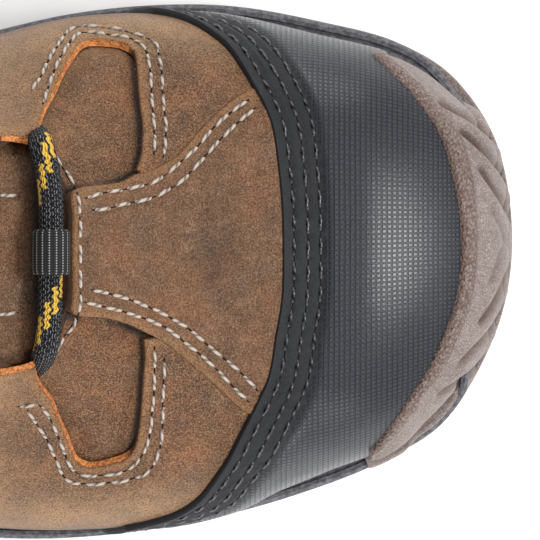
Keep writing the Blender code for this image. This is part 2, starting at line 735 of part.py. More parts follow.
def build_eyelets(parts, finish):
    """Flat metal rings down both eyestays."""
    lift = SIDE_LIFT + QUARTER_THICK + EYELET_CLEAR + EYELET_WIRE * EYELET_FLAT
    for side, word in ((1, "inner"), (-1, "outer")):
        for number, s in enumerate(EYELET_PLACES, start=1):
            bpy.ops.mesh.primitive_torus_add(
                major_segments=12, minor_segments=4,
                major_radius=EYELET_RING * MM, minor_radius=EYELET_WIRE * MM,
            )
            made = bpy.context.object
            made.name = f"eyelet_{word}_{number}"
            made.data.name = made.name
            made.data.transform(((1, 0, 0, 0), (0, 1, 0, 0), (0, 0, EYELET_FLAT, 0), (0, 0, 0, 1)))
            made.data.materials.append(finish)
            made.data.shade_smooth()
            out = Vector(normal(side * s, EYELET_HEIGHT))
            made.rotation_mode = "QUATERNION"
            made.rotation_quaternion = out.to_track_quat("Z", "Y")
            made.location = Vector(eyelet_place(side, s, lift)) * MM
            for collection in made.users_collection:
                collection.objects.unlink(made)
            parts.objects.link(made)


def build_laces(parts, cutters, finish):
    """Straight bar at the throat, then crossings from eyelet to eyelet up to the top pair."""
    start, end = (BAR_X, BAR_INNER_Y, BAR_END_Z), (BAR_X, BAR_OUTER_Y, BAR_END_Z)
    tube("lace_bar", arch_route(start, end, BAR_MIDDLE_Z - BAR_END_Z), LACE_RADIUS, finish, parts)
    for number, (low, high) in enumerate(zip(EYELET_PLACES, EYELET_PLACES[1:]), start=1):
        over = tube(f"lace_cross_{number}", lace_route(1, low, high), LACE_RADIUS, finish, parts)
        under = tube(f"lace_under_{number}", lace_route(-1, low, high), LACE_RADIUS, finish, parts)
        crossing = as_mesh(over, parts)
        other = as_mesh(under, cutters)
        other.hide_render = True
        other.display_type = "WIRE"
        cut(crossing, other, "UNION")


def build_keeper(parts, finish):
    """Webbing loop that holds the lace bar down at the middle of the throat."""
    inner = LACE_RADIUS + GAP + KEEPER_CLEAR
    turns = np.radians(np.linspace(0, 180, 9))
    top = BAR_MIDDLE_Z
    path = [(BAR_X + inner, top - KEEPER_LEG)]
    path += [(BAR_X + inner * math.cos(a), top + inner * math.sin(a)) for a in turns]
    path += [(BAR_X - inner, top - KEEPER_LEG)]
    sides = (KEEPER_MIDDLE_Y + KEEPER_HALF_WIDTH, KEEPER_MIDDLE_Y - KEEPER_HALF_WIDTH)
    points = [(x, y, z) for y in sides for x, z in path]
    made = add_object("lace_keeper", points, grid_faces(2, len(path), False), finish, parts)
    solidify(made, KEEPER_THICK, 1)


def main():
    """Build the boot from nothing."""
    for old in list(bpy.data.objects):
        bpy.data.objects.remove(old)
    parts = bpy.data.collections.new("work_boot")
    cutters = bpy.data.collections.new("cutters")
    for collection in (parts, cutters):
        bpy.context.scene.collection.children.link(collection)
    finishes = {
        "leather": material("brown_leather", (0.26, 0.145, 0.076), 0.62),
        "lining": material("under_leather", (0.17, 0.08, 0.042), 0.7),
        "cap": material("black_cap", (0.055, 0.058, 0.065), 0.45),
        "bumper": material("taupe_rubber", (0.34, 0.275, 0.235), 0.7),
        "tread": material("grey_rubber", (0.19, 0.17, 0.168), 0.75),
        "foam": material("dark_foam", (0.09, 0.093, 0.107), 0.7),
        "footbed": material("footbed", (0.03, 0.03, 0.03), 0.9),
        "lace": material("black_lace", (0.015, 0.015, 0.015), 0.8),
        "metal": material("dark_metal", (0.1, 0.09, 0.08), 0.35, 1.0),
    }
    build_outsole(parts, cutters, finishes["tread"])
    build_midsole(parts, finishes["foam"])
    build_insole(parts, finishes["footbed"])
    build_upper(parts, finishes["lining"])
    build_panels(parts, finishes)
    build_bumper(parts, finishes["bumper"])
    build_tongue(parts, finishes["leather"])
    build_eyelets(parts, finishes["metal"])
    build_laces(parts, cutters, finishes["lace"])
    build_keeper(parts, finishes["lace"])


if __name__ == "__main__":
    main()
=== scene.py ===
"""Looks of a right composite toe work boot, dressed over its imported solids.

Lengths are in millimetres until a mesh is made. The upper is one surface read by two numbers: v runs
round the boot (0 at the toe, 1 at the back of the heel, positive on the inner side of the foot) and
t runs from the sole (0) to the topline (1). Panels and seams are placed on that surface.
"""

import logging
import math
from dataclasses import dataclass, field, replace
from enum import Enum
from typing import Any, Callable, Iterable, Sequence

import bmesh
import bpy
import numpy as np
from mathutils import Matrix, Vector
from mathutils.geometry import delaunay_2d_cdt
from mathutils.kdtree import KDTree


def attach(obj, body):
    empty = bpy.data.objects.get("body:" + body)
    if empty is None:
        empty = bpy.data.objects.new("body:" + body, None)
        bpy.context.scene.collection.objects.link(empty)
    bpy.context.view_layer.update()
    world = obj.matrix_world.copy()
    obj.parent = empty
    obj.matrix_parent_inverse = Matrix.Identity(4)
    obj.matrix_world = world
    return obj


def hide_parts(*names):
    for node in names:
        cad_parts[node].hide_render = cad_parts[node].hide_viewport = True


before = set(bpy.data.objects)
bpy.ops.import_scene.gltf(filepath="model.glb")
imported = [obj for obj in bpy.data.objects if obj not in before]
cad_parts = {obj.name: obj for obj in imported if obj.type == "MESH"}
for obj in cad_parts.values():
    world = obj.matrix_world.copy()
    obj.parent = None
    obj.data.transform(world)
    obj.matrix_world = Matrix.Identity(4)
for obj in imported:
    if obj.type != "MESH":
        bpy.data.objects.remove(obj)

LOG = logging.getLogger("work_boot")
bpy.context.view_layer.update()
BODY = "root"
MM = 0.001
GAP = 0.35

Array = np.ndarray
Material = bpy.types.Material
Piece = bpy.types.Object
Rows = Sequence[Sequence[float]]


class Side(Enum):
    """Side of the foot, by the sign of v."""

    INNER = 1
    OUTER = -1


# Driving sizes of the boot, in millimetres
LENGTH = 312.0
HALF_LENGTH = LENGTH / 2
HEEL_LIFT = 24.0
FOREFOOT_SOLE = 11.5
HEEL_SEAT = 41.0
FOREFOOT_SEAT = 27.0
PARTING_TOE_RISE = 15.0
SEAT_TOE_RISE = 9.0
TOE_SPRING = 14.0
TOE_SPRING_START = 92.0
HEEL_BEVEL = 5.0
HEEL_BEVEL_START = -142.0
RISE_BACK = -66.0
RISE_FRONT = 34.0
AXIS_HEEL_Y = -3.0
AXIS_TOE_Y = 7.0
WALL = 2.4

OUTLINE_ROWS: Rows = (
    # s, inner x, inner y, outer x, outer y
    (0, 156, 7, 156, 7),
    (0.05, 153, 27, 153, -12),
    (0.1, 144.5, 41.2, 143, -31),
    (0.16, 131, 50.3, 128, -41.7),
    (0.22, 114, 55, 109, -49.3),
    (0.3, 90, 58.8, 82, -56.2),
    (0.38, 62, 57.3, 54, -59.1),
    (0.46, 34, 51, 26, -57.5),
    (0.55, 0, 42, -6, -52),
    (0.64, -36, 37.5, -40, -47.5),
    (0.73, -74, 37.5, -76, -44.5),
    (0.81, -106, 38.5, -107, -44),
    (0.88, -132, 34, -133, -39.5),
    (0.945, -149.5, 20, -150, -26),
    (1, -156, -3, -156, -3),
)
TOPLINE_ROWS: Rows = (
    # s, x, half width, z
    (0, 58.5, 0, 96),
    (0.22, 58.5, 11, 95),
    (0.3, 57.5, 15.5, 93.5),
    (0.36, 51, 22, 92.5),
    (0.42, 38, 24, 99),
    (0.5, 15, 24.5, 114),
    (0.58, -10, 25, 133),
    (0.66, -33, 27, 155),
    (0.72, -46, 31, 168),
    (0.78, -62, 36, 173),
    (0.85, -88, 38, 169),
    (0.92, -116, 31, 165),
    (0.96, -130, 19, 166),
    (1, -137, 0, 167),
)
RIB_ROWS: Rows = (
    # s, inner inset, outer inset, wall height, lean outwards, crown length, crown slope, fullness
    (0, 7.5, 7.5, 45, 6, 61, 38, 1.5),
    (0.16, 8, 7, 43, 6, 48, 40, 1.5),
    (0.22, 8.4, 6, 42, 6.5, 40, 42, 1.5),
    (0.3, 7.4, 5, 41, 7, 34, 48, 1.4),
    (0.36, 6.2, 6, 40, 8, 30, 55, 1.3),
    (0.5, 6.5, 6.5, 40, 6, 35, 72, 1.1),
    (0.66, 6.5, 6.5, 40, 4, 45, 82, 1),
    (0.8, 6.5, 6.5, 45, 3, 45, 90, 1),
    (1, 6.5, 6.5, 45, 4, 45, 86, 1),
)


def ease(x: Array, start: float, end: float) -> Array:
    """Smooth step from 0 at start to 1 at end."""
    f = np.clip((np.asarray(x, dtype=float) - start) / (end - start), 0.0, 1.0)
    return f * f * (3 - 2 * f)


def smooth_route(places: Rows, each: int = 6) -> Array:
    """Points on a smooth curve through the given ones.

    Args:
        places: the points to pass through.
        each: how many steps each stretch gets.

    Returns:
        The points of the curve, ends included.
    """
    points = np.asarray(places, dtype=float)
    ends = np.concatenate((2 * points[:1] - points[1:2], points, 2 * points[-1:] - points[-2:-1]))
    route = []
    for a, b, c, d in zip(ends, ends[1:], ends[2:], ends[3:]):
        for f in np.arange(each) / each:
            bend = (2 * a - 5 * b + 4 * c - d) * f**2 + (3 * b - a - 3 * c + d) * f**3
            route.append(b + ((c - a) * f + bend) / 2)
    return np.array(route + [points[-1]])


def unit(rows: Array) -> Array:
    """Directions of length 1."""
    return rows / np.linalg.norm(rows, axis=-1, keepdims=True)


def run_along(points: Array) -> Array:
    """Distance of each point of a line from its start, along the line."""
    return np.concatenate(([0.0], np.cumsum(np.linalg.norm(np.diff(points, axis=0), axis=1))))


def circle(count: int) -> Array:
    """Cosine and sine of even turns, one pair for each."""
    turns = np.arange(count) * 2 * math.pi / count
    return np.column_stack((np.cos(turns), np.sin(turns)))


class Loop:
    """Smooth closed curve of table values, read by the place v round the boot."""

    def __init__(self, inner_rows: Rows, outer_rows: Rows) -> None:
        """Join the two sides' rows, each starting with its s, into one ring of knots.

        Args:
            inner_rows: table of the inner side.
            outer_rows: table of the outer side.
        """
        ring = {row[0]: row[1:] for row in inner_rows if row[0] < 1.0}
        ring.update({-row[0]: row[1:] for row in outer_rows if row[0] > 0.0})
        knots = np.array(sorted(ring))
        values = np.array([ring[knot] for knot in knots], dtype=float)
        self.knots = np.concatenate((knots - 2.0, knots, knots + 2.0))
        self.values = np.concatenate((values, values, values))
        steps = np.diff(self.knots)[:, None]
        rises = np.diff(self.values, axis=0) / steps
        inside = (rises[1:] * steps[:-1] + rises[:-1] * steps[1:]) / (steps[1:] + steps[:-1])
        self.slopes = np.concatenate((rises[:1], inside, rises[-1:]))

    def at(self, v: Array) -> Array:
        """Values at v, one row for each.

        Args:
            v: places round the boot.

        Returns:
            The table's columns after s, read at each place.
        """
        v = np.asarray(v, dtype=float)
        i = np.clip(np.searchsorted(self.knots, v, side="right") - 1, 0, len(self.knots) - 2)
        step = (self.knots[i + 1] - self.knots[i])[..., None]
        f = (v - self.knots[i])[..., None] / step
        rise_in = (f**3 - 2 * f**2 + f) * step * self.slopes[i]
        rise_out = (f**3 - f**2) * step * self.slopes[i + 1]
        start = (2 * f**3 - 3 * f**2 + 1) * self.values[i]
        return start + (3 * f**2 - 2 * f**3) * self.values[i + 1] + rise_in + rise_out


def axis_y(x: Any) -> Any:
    """Y of the foot's own middle line, which curves in towards the toe."""
    return AXIS_HEEL_Y + (x + HALF_LENGTH) * (AXIS_TOE_Y - AXIS_HEEL_Y) / LENGTH


def toe_rise(x: Array) -> Array:
    """Share of the toe's lift at x: nothing at the ball, 1 at the tip."""
    return np.clip((x - TOE_SPRING_START) / (HALF_LENGTH - TOE_SPRING_START), 0.0, None) ** 2


def ground_height(x: Array) -> Array:
    """Underside of the tread, before the arch is cut."""
    back = np.clip((HEEL_BEVEL_START - x) / (HALF_LENGTH + HEEL_BEVEL_START), 0.0, None)
    return TOE_SPRING * toe_rise(x) + HEEL_BEVEL * back**2


def parting_height(x: Array) -> Array:
    """Line where the outsole meets the midsole."""
    drop = (FOREFOOT_SOLE - HEEL_LIFT) * ease(x, RISE_BACK, RISE_FRONT)
    return HEEL_LIFT + drop + PARTING_TOE_RISE * toe_rise(x)


def seat_height(x: Array) -> Array:
    """Top of the midsole, where the upper stands."""
    drop = (FOREFOOT_SEAT - HEEL_SEAT) * ease(x, RISE_BACK, RISE_FRONT)
    return HEEL_SEAT + drop + SEAT_TOE_RISE * toe_rise(x)


@dataclass
class PhotoCamera:
    """Camera straight above the forefoot, toe to the right, as the photo was taken."""

    mm_per_pixel: float = 0.2208
    left: float = 43.06
    top: float = 59.73
    rim_height: float = 15.0
    height: float = 3000.0
    frame_pixels: int = 540
    sensor: float = 36.0

    def centre(self) -> Array:
        """Place of the lens."""
        half = self.mm_per_pixel * self.frame_pixels / 2
        return np.array((self.left + half, self.top - half, self.height))

    def project(self, points: Array) -> Array:
        """Pixel columns and rows of points, one pair for each.

        Args:
            points: rows of x, y and z.

        Returns:
            Rows of a column and a row.
        """
        eye = self.centre()
        ray = np.asarray(points, dtype=float) - eye
        plan = eye[:2] + ray[..., :2] * ((self.rim_height - self.height) / ray[..., 2])[..., None]
        return np.stack((plan[..., 0] - self.left, self.top - plan[..., 1]), axis=-1) / self.mm_per_pixel

    def spot(self, pixel: Sequence[float], height: float) -> Array:
        """Point at a height that is seen at a pixel.

        Args:
            pixel: its column and row.
            height: z of the point.

        Returns:
            The point.
        """
        eye = self.centre()
        plan = (self.left + pixel[0] * self.mm_per_pixel, self.top - pixel[1] * self.mm_per_pixel)
        way = np.array((*plan, self.rim_height)) - eye
        return eye + way * (height - eye[2]) / way[2]

    def build(self) -> Piece:
        """The camera object, made the scene's own.

        Returns:
            The camera.
        """
        data = bpy.data.cameras.new("photo_camera")
        data.sensor_width = self.sensor
        data.lens = self.sensor * (self.height - self.rim_height) / (self.mm_per_pixel * self.frame_pixels)
        data.clip_start, data.clip_end = 0.05, 20.0
        camera = bpy.data.objects.new("photo_camera", data)
        camera.location = self.centre() * MM
        bpy.context.collection.objects.link(camera)
        bpy.context.scene.camera = camera
        return camera


class Last:
    """The surface that the upper and all its panels follow."""

    STEP = 1e-3

    def __init__(self, camera: PhotoCamera) -> None:
        """Read the tables and sample the forefoot for places seen in the photo.

        Args:
            camera: the camera whose pixels are read.
        """
        self.camera = camera
        self.outline_ring = Loop([row[:3] for row in OUTLINE_ROWS],
                                 [(row[0], row[3], row[4]) for row in OUTLINE_ROWS])
        self.topline = Loop([(s, x, axis_y(x) + half, z) for s, x, half, z in TOPLINE_ROWS],
                            [(s, x, axis_y(x) - half, z) for s, x, half, z in TOPLINE_ROWS])
        self.rib = Loop([(row[0], row[1], *row[3:]) for row in RIB_ROWS],
                        [(row[0], row[2], *row[3:]) for row in RIB_ROWS])
        v, t = np.meshgrid(np.linspace(-0.62, 0.62, 249), np.linspace(0.02, 1.0, 99), indexing="ij")
        samples = np.stack((v.ravel(), t.ravel()), axis=-1)
        self.samples = samples[self.out(samples)[:, 2] > 0.03]
        self.sample_pixels = self.pixels(self.samples)

    def outline(self, v: Array, inset: Array) -> tuple[Array, Array]:
        """Plan points of the sole's outline moved in by inset, and the outward directions there.

        Args:
            v: places round the boot.
            inset: how far to move in.

        Returns:
            Rows of x and y, and rows of a direction.
        """
        v = np.asarray(v, dtype=float)
        along = unit(self.outline_ring.at(v + self.STEP) - self.outline_ring.at(v - self.STEP))
        out = np.stack((along[..., 1], -along[..., 0]), axis=-1)
        return self.outline_ring.at(v) - out * np.asarray(inset, dtype=float)[..., None], out

    def surface(self, v: Array, t: Array) -> Array:
        """Points of the upper's outer face.

        Args:
            v: places round the boot.
            t: shares of the way up, 0 to 1.

        Returns:
            Rows of x, y and z.
        """
        v, t = np.broadcast_arrays(np.asarray(v, dtype=float), np.asarray(t, dtype=float))
        inset, wall, lean, crown, slope, full = np.moveaxis(self.rib.at(v), -1, 0)
        foot, out = self.outline(v, inset)
        top = self.topline.at(v)
        low = np.concatenate((foot, (seat_height(foot[..., 0]) + GAP)[..., None]), axis=-1)
        away = unit(foot - top[..., :2])
        slope = np.radians(slope)
        shoulder = low + np.concatenate((out * lean[..., None], wall[..., None]), axis=-1)
        level, fall = crown * np.cos(slope), -crown * np.sin(slope)
        reach = np.concatenate((away * level[..., None], fall[..., None]), axis=-1)
        weights = ((1 - t) ** 3, 3 * t * (1 - t) ** 2 * full, 3 * t**2 * (1 - t) * full, t**3)
        mixed = sum(w[..., None] * p for w, p in zip(weights, (low, shoulder, top + reach, top)))
        return mixed / sum(weights)[..., None]

    def slopes(self, v: Array, t: Array) -> tuple[Array, Array]:
        """Change of the surface along v and along t.

        Args:
            v: places round the boot.
            t: shares of the way up, 0 to 1.

        Returns:
            The two changes at each place.
        """
        v, t = np.asarray(v, dtype=float), np.asarray(t, dtype=float)
        high, low = np.minimum(t + self.STEP, 1.0), np.maximum(t - self.STEP, 0.0)
        along_v = (self.surface(v + self.STEP, t) - self.surface(v - self.STEP, t)) / (2 * self.STEP)
        along_t = (self.surface(v, high) - self.surface(v, low)) / (high - low)[..., None]
        return along_v, along_t

    def normal(self, v: Array, t: Array) -> Array:
        """Outward unit normals."""
        return unit(np.cross(*self.slopes(v, t)))

    def raised(self, v: Array, t: Array, lift: Array) -> Array:
        """Points that stand off the surface by lift."""
        return self.surface(v, t) + self.normal(v, t) * np.asarray(lift)[..., None]

    def at(self, places: Array) -> Array:
        """Points of the surface at rows of v and t."""
        return self.surface(*places.T)

    def out(self, places: Array) -> Array:
        """Outward unit normals at rows of v and t."""
        return self.normal(*places.T)

    def lifted(self, places: Array, lift: Array) -> Array:
        """Points that stand off the surface by lift, at rows of v and t."""
        return self.raised(*places.T, lift)

    def pixels(self, places: Array) -> Array:
        """Where the camera sees places."""
        return self.camera.project(self.at(places))

    def shifted(self, places: Array, move: Array) -> Array:
        """Places after a short move given in space along the surface.

        Args:
            places: rows of v and t.
            move: rows of a move in millimetres, tangent to the surface.

        Returns:
            New rows of v and t.
        """
        a, b = self.slopes(*places.T)
        aa, ab, bb = (np.sum(p * q, axis=1) for p, q in ((a, a), (a, b), (b, b)))
        am, bm = np.sum(a * move, axis=1), np.sum(b * move, axis=1)
        det = aa * bb - ab**2
        step = np.stack(((am * bb - bm * ab) / det, (bm * aa - am * ab) / det), axis=-1)
        return places + step

    def from_pixels(self, pixels: Rows, lift: float = 0.0) -> Array:
        """Places on the forefoot that the camera sees at given pixels.

        Args:
            pixels: columns and rows in the 540 frame.
            lift: height above the surface of what is seen there.

        Returns:
            Rows of v and t.
        """
        wanted = np.asarray(pixels, dtype=float)
        near = [np.argmin(np.sum((self.sample_pixels - pixel) ** 2, axis=1)) for pixel in wanted]
        places = self.samples[near]
        step = 1e-4
        for _ in range(5):
            at = self.camera.project(self.lifted(places, lift))
            dv, dt = ((self.camera.project(self.lifted(places + move, lift)) - at) / step
                      for move in ((step, 0.0), (0.0, step)))
            miss = wanted - at
            det = dv[:, 0] * dt[:, 1] - dv[:, 1] * dt[:, 0]
            move_v = (miss[:, 0] * dt[:, 1] - miss[:, 1] * dt[:, 0]) / det
            move_t = (miss[:, 1] * dv[:, 0] - miss[:, 0] * dv[:, 1]) / det
            places = places + np.clip(np.stack((move_v, move_t), axis=-1), -0.05, 0.05)
            places[:, 1] = np.clip(places[:, 1], 0.0, 0.999)
        return places

    def evenly(self, places: Array, spacing: float, closed: bool = False) -> Array:
        """Places along a line or border, re-read at an even spacing in millimetres.

        Args:
            places: rows of v and t.
            spacing: distance between two places.
            closed: whether the last place leads back to the first.

        Returns:
            New rows of v and t.
        """
        line = np.concatenate((places, places[:1])) if closed else np.asarray(places)
        shares = np.linspace(0, 1, 9)[:-1, None]
        fine = np.concatenate([a + (b - a) * shares for a, b in zip(line, line[1:])] + [line[-1:]])
        run = run_along(self.at(fine))
        count = max(2, int(round(run[-1] / spacing)))
        at = np.linspace(0.0, run[-1], count + 1)
        even = np.stack([np.interp(at, run, fine[:, k]) for k in (0, 1)], axis=-1)
        return even[:-1] if closed else even


def tone(red: float, green: float, blue: float) -> tuple[float, float, float, float]:
    """Linear colour for the shader from a display colour of 0 to 255.

    Args:
        red: display red.
        green: display green.
        blue: display blue.

    Returns:
        Linear red, green and blue, and full cover.
    """
    shares = (channel / 255 for channel in (red, green, blue))
    linear = [c / 12.92 if c <= 0.04045 else ((c + 0.055) / 1.055) ** 2.4 for c in shares]
    return (*linear, 1.0)


class Socket:
    """A shader value that takes part in Python sums."""

    def __init__(self, graph: "Graph", end: bpy.types.NodeSocket) -> None:
        """Wrap the output end of a node."""
        self.graph = graph
        self.end = end

    def __add__(self, other: Any) -> "Socket":
        """Sum."""
        return self.graph.maths("ADD", self, other)

    __radd__ = __add__

    def __sub__(self, other: Any) -> "Socket":
        """Difference."""
        return self.graph.maths("SUBTRACT", self, other)

    def __rsub__(self, other: Any) -> "Socket":
        """Difference the other way round."""
        return self.graph.maths("SUBTRACT", other, self)

    def __mul__(self, other: Any) -> "Socket":
        """Product."""
        return self.graph.maths("MULTIPLY", self, other)

    __rmul__ = __mul__

    def __truediv__(self, other: Any) -> "Socket":
        """Quotient."""
        return self.graph.maths("DIVIDE", self, other)


class Graph:
    """Node tree of one material, built from expressions."""

    def __init__(self, name: str) -> None:
        """Start a material with its one shader.

        Args:
            name: name of the material.
        """
        self.material = bpy.data.materials.new(name)
        self.material.use_nodes = True
        self.tree = self.material.node_tree
        self.shader = self.tree.nodes["Principled BSDF"]
        self.coordinates = self.tree.nodes.new("ShaderNodeTexCoord")

    def link(self, entry: bpy.types.NodeSocket, value: Any) -> None:
        """Feed an input from a socket, or set it to a plain value.

        Args:
            entry: the input.
            value: a socket, number or colour.
        """
        if isinstance(value, Socket):
            self.tree.links.new(value.end, entry)
        else:
            entry.default_value = value

    def node(self, kind: str, settings: dict[str, Any], inputs: dict[Any, Any], output: Any = 0) -> Socket:
        """Add one node.

        Args:
            kind: type of the node, without its ShaderNode prefix.
            settings: its own properties, set before the sockets.
            inputs: values or sockets by name or number of the input.
            output: name or number of the output to return.

        Returns:
            That output.
        """
        made = self.tree.nodes.new("ShaderNode" + kind)
        for key, value in settings.items():
            setattr(made, key, value)
        for key, value in inputs.items():
            self.link(made.inputs[key], value)
        return Socket(self, made.outputs[output])

    def maths(self, operation: str, *values: Any) -> Socket:
        """Math node on values or sockets."""
        return self.node("Math", {"operation": operation}, dict(enumerate(values)))

    def mix(self, factor: Any, first: Any, second: Any) -> Socket:
        """Colour between two others."""
        return self.node("Mix", {"data_type": "RGBA"}, {0: factor, 6: first, 7: second}, 2)

    def stain(self, colour: Any, tint: Any, share: float, value: Socket, low: float, high: float) -> Socket:
        """Colour with a share of a tint laid over it where a value goes from low to high."""
        return self.mix(self.smooth(value, low, high) * share, colour, tint)

    def place(self) -> Socket:
        """Object coordinates, in metres."""
        return Socket(self, self.coordinates.outputs["Object"])

    def attribute(self, name: str) -> Socket:
        """Value that the mesh holds at each point."""
        return self.node("Attribute", {"attribute_name": name}, {}, "Fac")

    def map_axes(self, name: str) -> tuple[Socket, Socket]:
        """The two directions of a piece's own UV map, in millimetres."""
        along, across, _ = self.axes(self.node("UVMap", {"uv_map": name}, {}))
        return along, across

    def axes(self, place: Socket) -> list[Socket]:
        """The three parts of a place.

        Args:
            place: socket of the place.

        Returns:
            Sockets of x, y and z.
        """
        parts = self.tree.nodes.new("ShaderNodeSeparateXYZ")
        self.link(parts.inputs[0], place)
        return [Socket(self, end) for end in parts.outputs]

    def stretched(self, x: float, y: float, z: float) -> Socket:
        """Object coordinates scaled along each axis."""
        return self.node("Mapping", {}, {"Vector": self.place(), "Scale": (x, y, z)})

    def noise(self, scale: float, detail: float = 3.0, rough: float = 0.55,
              at: Socket | None = None) -> Socket:
        """Cloudy value from 0 to 1; scale counts the clouds in a metre."""
        inputs = {"Vector": at or self.place(), "Scale": scale, "Detail": detail, "Roughness": rough}
        return self.node("TexNoise", {}, inputs)

    def cells(self, scale: float) -> Socket:
        """Distance inside scattered cells; scale counts the cells in a metre."""
        return self.node("TexVoronoi", {}, {"Vector": self.place(), "Scale": scale}, "Distance")

    def smooth(self, value: Socket, low: float, high: float) -> Socket:
        """Soft step from 0 at low to 1 at high."""
        settings = {"interpolation_type": "SMOOTHSTEP", "clamp": True}
        return self.node("MapRange", settings, {"Value": value, "From Min": low, "From Max": high})

    def wave(self, value: Socket, period: float) -> Socket:
        """Even ripple from -1 to 1 that repeats each period."""
        return self.maths("SINE", value * (2 * math.pi / period))

    def bump(self, height: Socket, depth: float) -> Socket:
        """Normals of a relief whose full height is depth, in millimetres."""
        return self.node("Bump", {}, {"Height": height, "Distance": depth * MM, "Strength": 1.0})

    def finish(self, **inputs: Any) -> Material:
        """Feed the shader by the names of its inputs, with underscores for spaces.

        Args:
            inputs: socket or value of each input.

        Returns:
            The finished material.
        """
        for name, value in inputs.items():
            self.link(self.shader.inputs[name.replace("_", " ")], value)
        return self.material


@dataclass(frozen=True)
class LeatherFinish:
    """Oiled full-grain leather: fine many-toned grain, cloudy browns, ochre edges, paler over the sides from
    pull-up and painted sheen.
    """

    name: str
    dark: tuple = tone(60, 39, 27)
    mid: tuple = tone(103, 71, 45)
    light: tuple = tone(98, 68, 42)
    red: tuple = tone(112, 67, 45)
    rust: tuple = tone(128, 79, 45)
    pale: tuple = tone(184, 150, 112)
    ochre: tuple = tone(158, 112, 68)
    glint: tuple = tone(156, 125, 96)
    ash: tuple = tone(98, 86, 78)
    pore: tuple = tone(60, 34, 14)
    spark: tuple = tone(156, 126, 98)
    # Near-black of the painted shade, which the vamp's dark cloud of hide also leans to
    grime: tuple = tone(15, 11, 9)
    rough: float = 0.52
    grain: float = 0.20

    def material(self) -> Material:
        """Node tree of the leather; it reads off the mesh how pale the sides are, depth from the edge, and
        the painted shade with the vamp's dark cloud.

        Returns:
            The finished material.
        """
        g = Graph(self.name)
        clouds = g.noise(34, 4, 0.6)
        patches = g.noise(115, 4, 0.62)
        grain = g.noise(2900, 3, 0.8)
        fleck = g.noise(900, 3, 0.7, g.stretched(1.0, 1.5, 1.0))
        hair = g.noise(700, 3, 0.6, g.stretched(3.2, 0.8, 1.0))
        drift = g.noise(62, 4, 0.6)
        base = g.mix(0.40, self.dark, self.mid)
        colour = g.mix(g.smooth(clouds * 0.5 + patches * 0.5, 0.34, 0.62), base, self.light)
        colour = g.stain(colour, self.red, 0.55, patches, 0.46, 0.70)
        colour = g.stain(colour, self.rust, 0.5, drift, 0.50, 0.70)
        colour = g.stain(colour, self.ash, 0.35, patches, 0.46, 0.26)
        mottle = g.noise(320, 4, 0.68)
        colour = g.stain(colour, self.pore, 0.42, mottle, 0.52, 0.32)
        colour = g.stain(colour, self.glint, 0.30, mottle, 0.52, 0.72)
        # Paler over the sides: partly the hide's pull-up, partly painted sheen where the leather turns to
        # the side lamps
        pull_and_sheen_share = g.smooth(g.attribute("pull") + (patches - 0.5) * 0.45, 0.12, 0.95)
        colour = g.mix(pull_and_sheen_share * 0.94, colour, self.pale)
        rim = g.smooth(g.attribute("depth") + (patches - 0.5) * 4.5, 3.6, 0.0)
        colour = g.mix(rim * 0.42, colour, self.ochre)
        colour = g.stain(colour, self.spark, 0.46, grain, 0.50, 0.62)
        colour = g.stain(colour, self.pore, 0.90, grain, 0.51, 0.37)
        colour = g.stain(colour, self.glint, 0.26, fleck, 0.54, 0.74)
        colour = g.stain(colour, self.glint, 0.34, hair, 0.56, 0.72)
        # Painted shade by the cap, the notches, the throat gap and the tongue's front; on the vamp also the
        # hide's dark cloud
        shade_and_cloud_share = g.smooth(g.attribute("grime"), 0.0, 1.0)
        colour = g.mix(shade_and_cloud_share * 0.92, colour, self.grime)
        pores = g.cells(1350)
        height = g.smooth(pores, 0.1, 0.6) * 0.5 + grain * 0.8 + patches * 0.3 + hair * 0.3
        rough = self.rough + (patches - 0.5) * 0.24 + (grain - 0.5) * 0.2
        return g.finish(Base_Color=colour, Roughness=rough, Normal=g.bump(height, self.grain),
                        Specular_IOR_Level=0.28)


@dataclass(frozen=True)
class RawEdgeFinish:
    """Cut edge of the hide: bright fibre where it is left raw, browned where it is sealed."""

    name: str = "cut_leather_edge"
    fibre: tuple = tone(226, 150, 84)
    burnt: tuple = tone(158, 80, 32)
    sealed: tuple = tone(84, 56, 38)
    # Near-black of the painted shade on the cut edge
    grime: tuple = tone(15, 11, 9)

    def material(self) -> Material:
        """Node tree of the cut edge.

        Returns:
            The finished material.
        """
        g = Graph(self.name)
        clouds = g.noise(900, 3, 0.7)
        fluff = g.noise(2200, 3, 0.7)
        raw = g.mix(g.smooth(clouds * 0.5 + fluff * 0.5, 0.40, 0.60), self.burnt, self.fibre)
        colour = g.mix(g.smooth(g.attribute("raw"), 0.1, 0.8), self.sealed, raw)
        # Painted shade on the cut edge where the mesh says so
        colour = g.stain(colour, self.grime, 0.9, g.attribute("grime"), 0.0, 0.6)
        return g.finish(Base_Color=colour, Roughness=0.85, Normal=g.bump(fluff + clouds, 0.45))


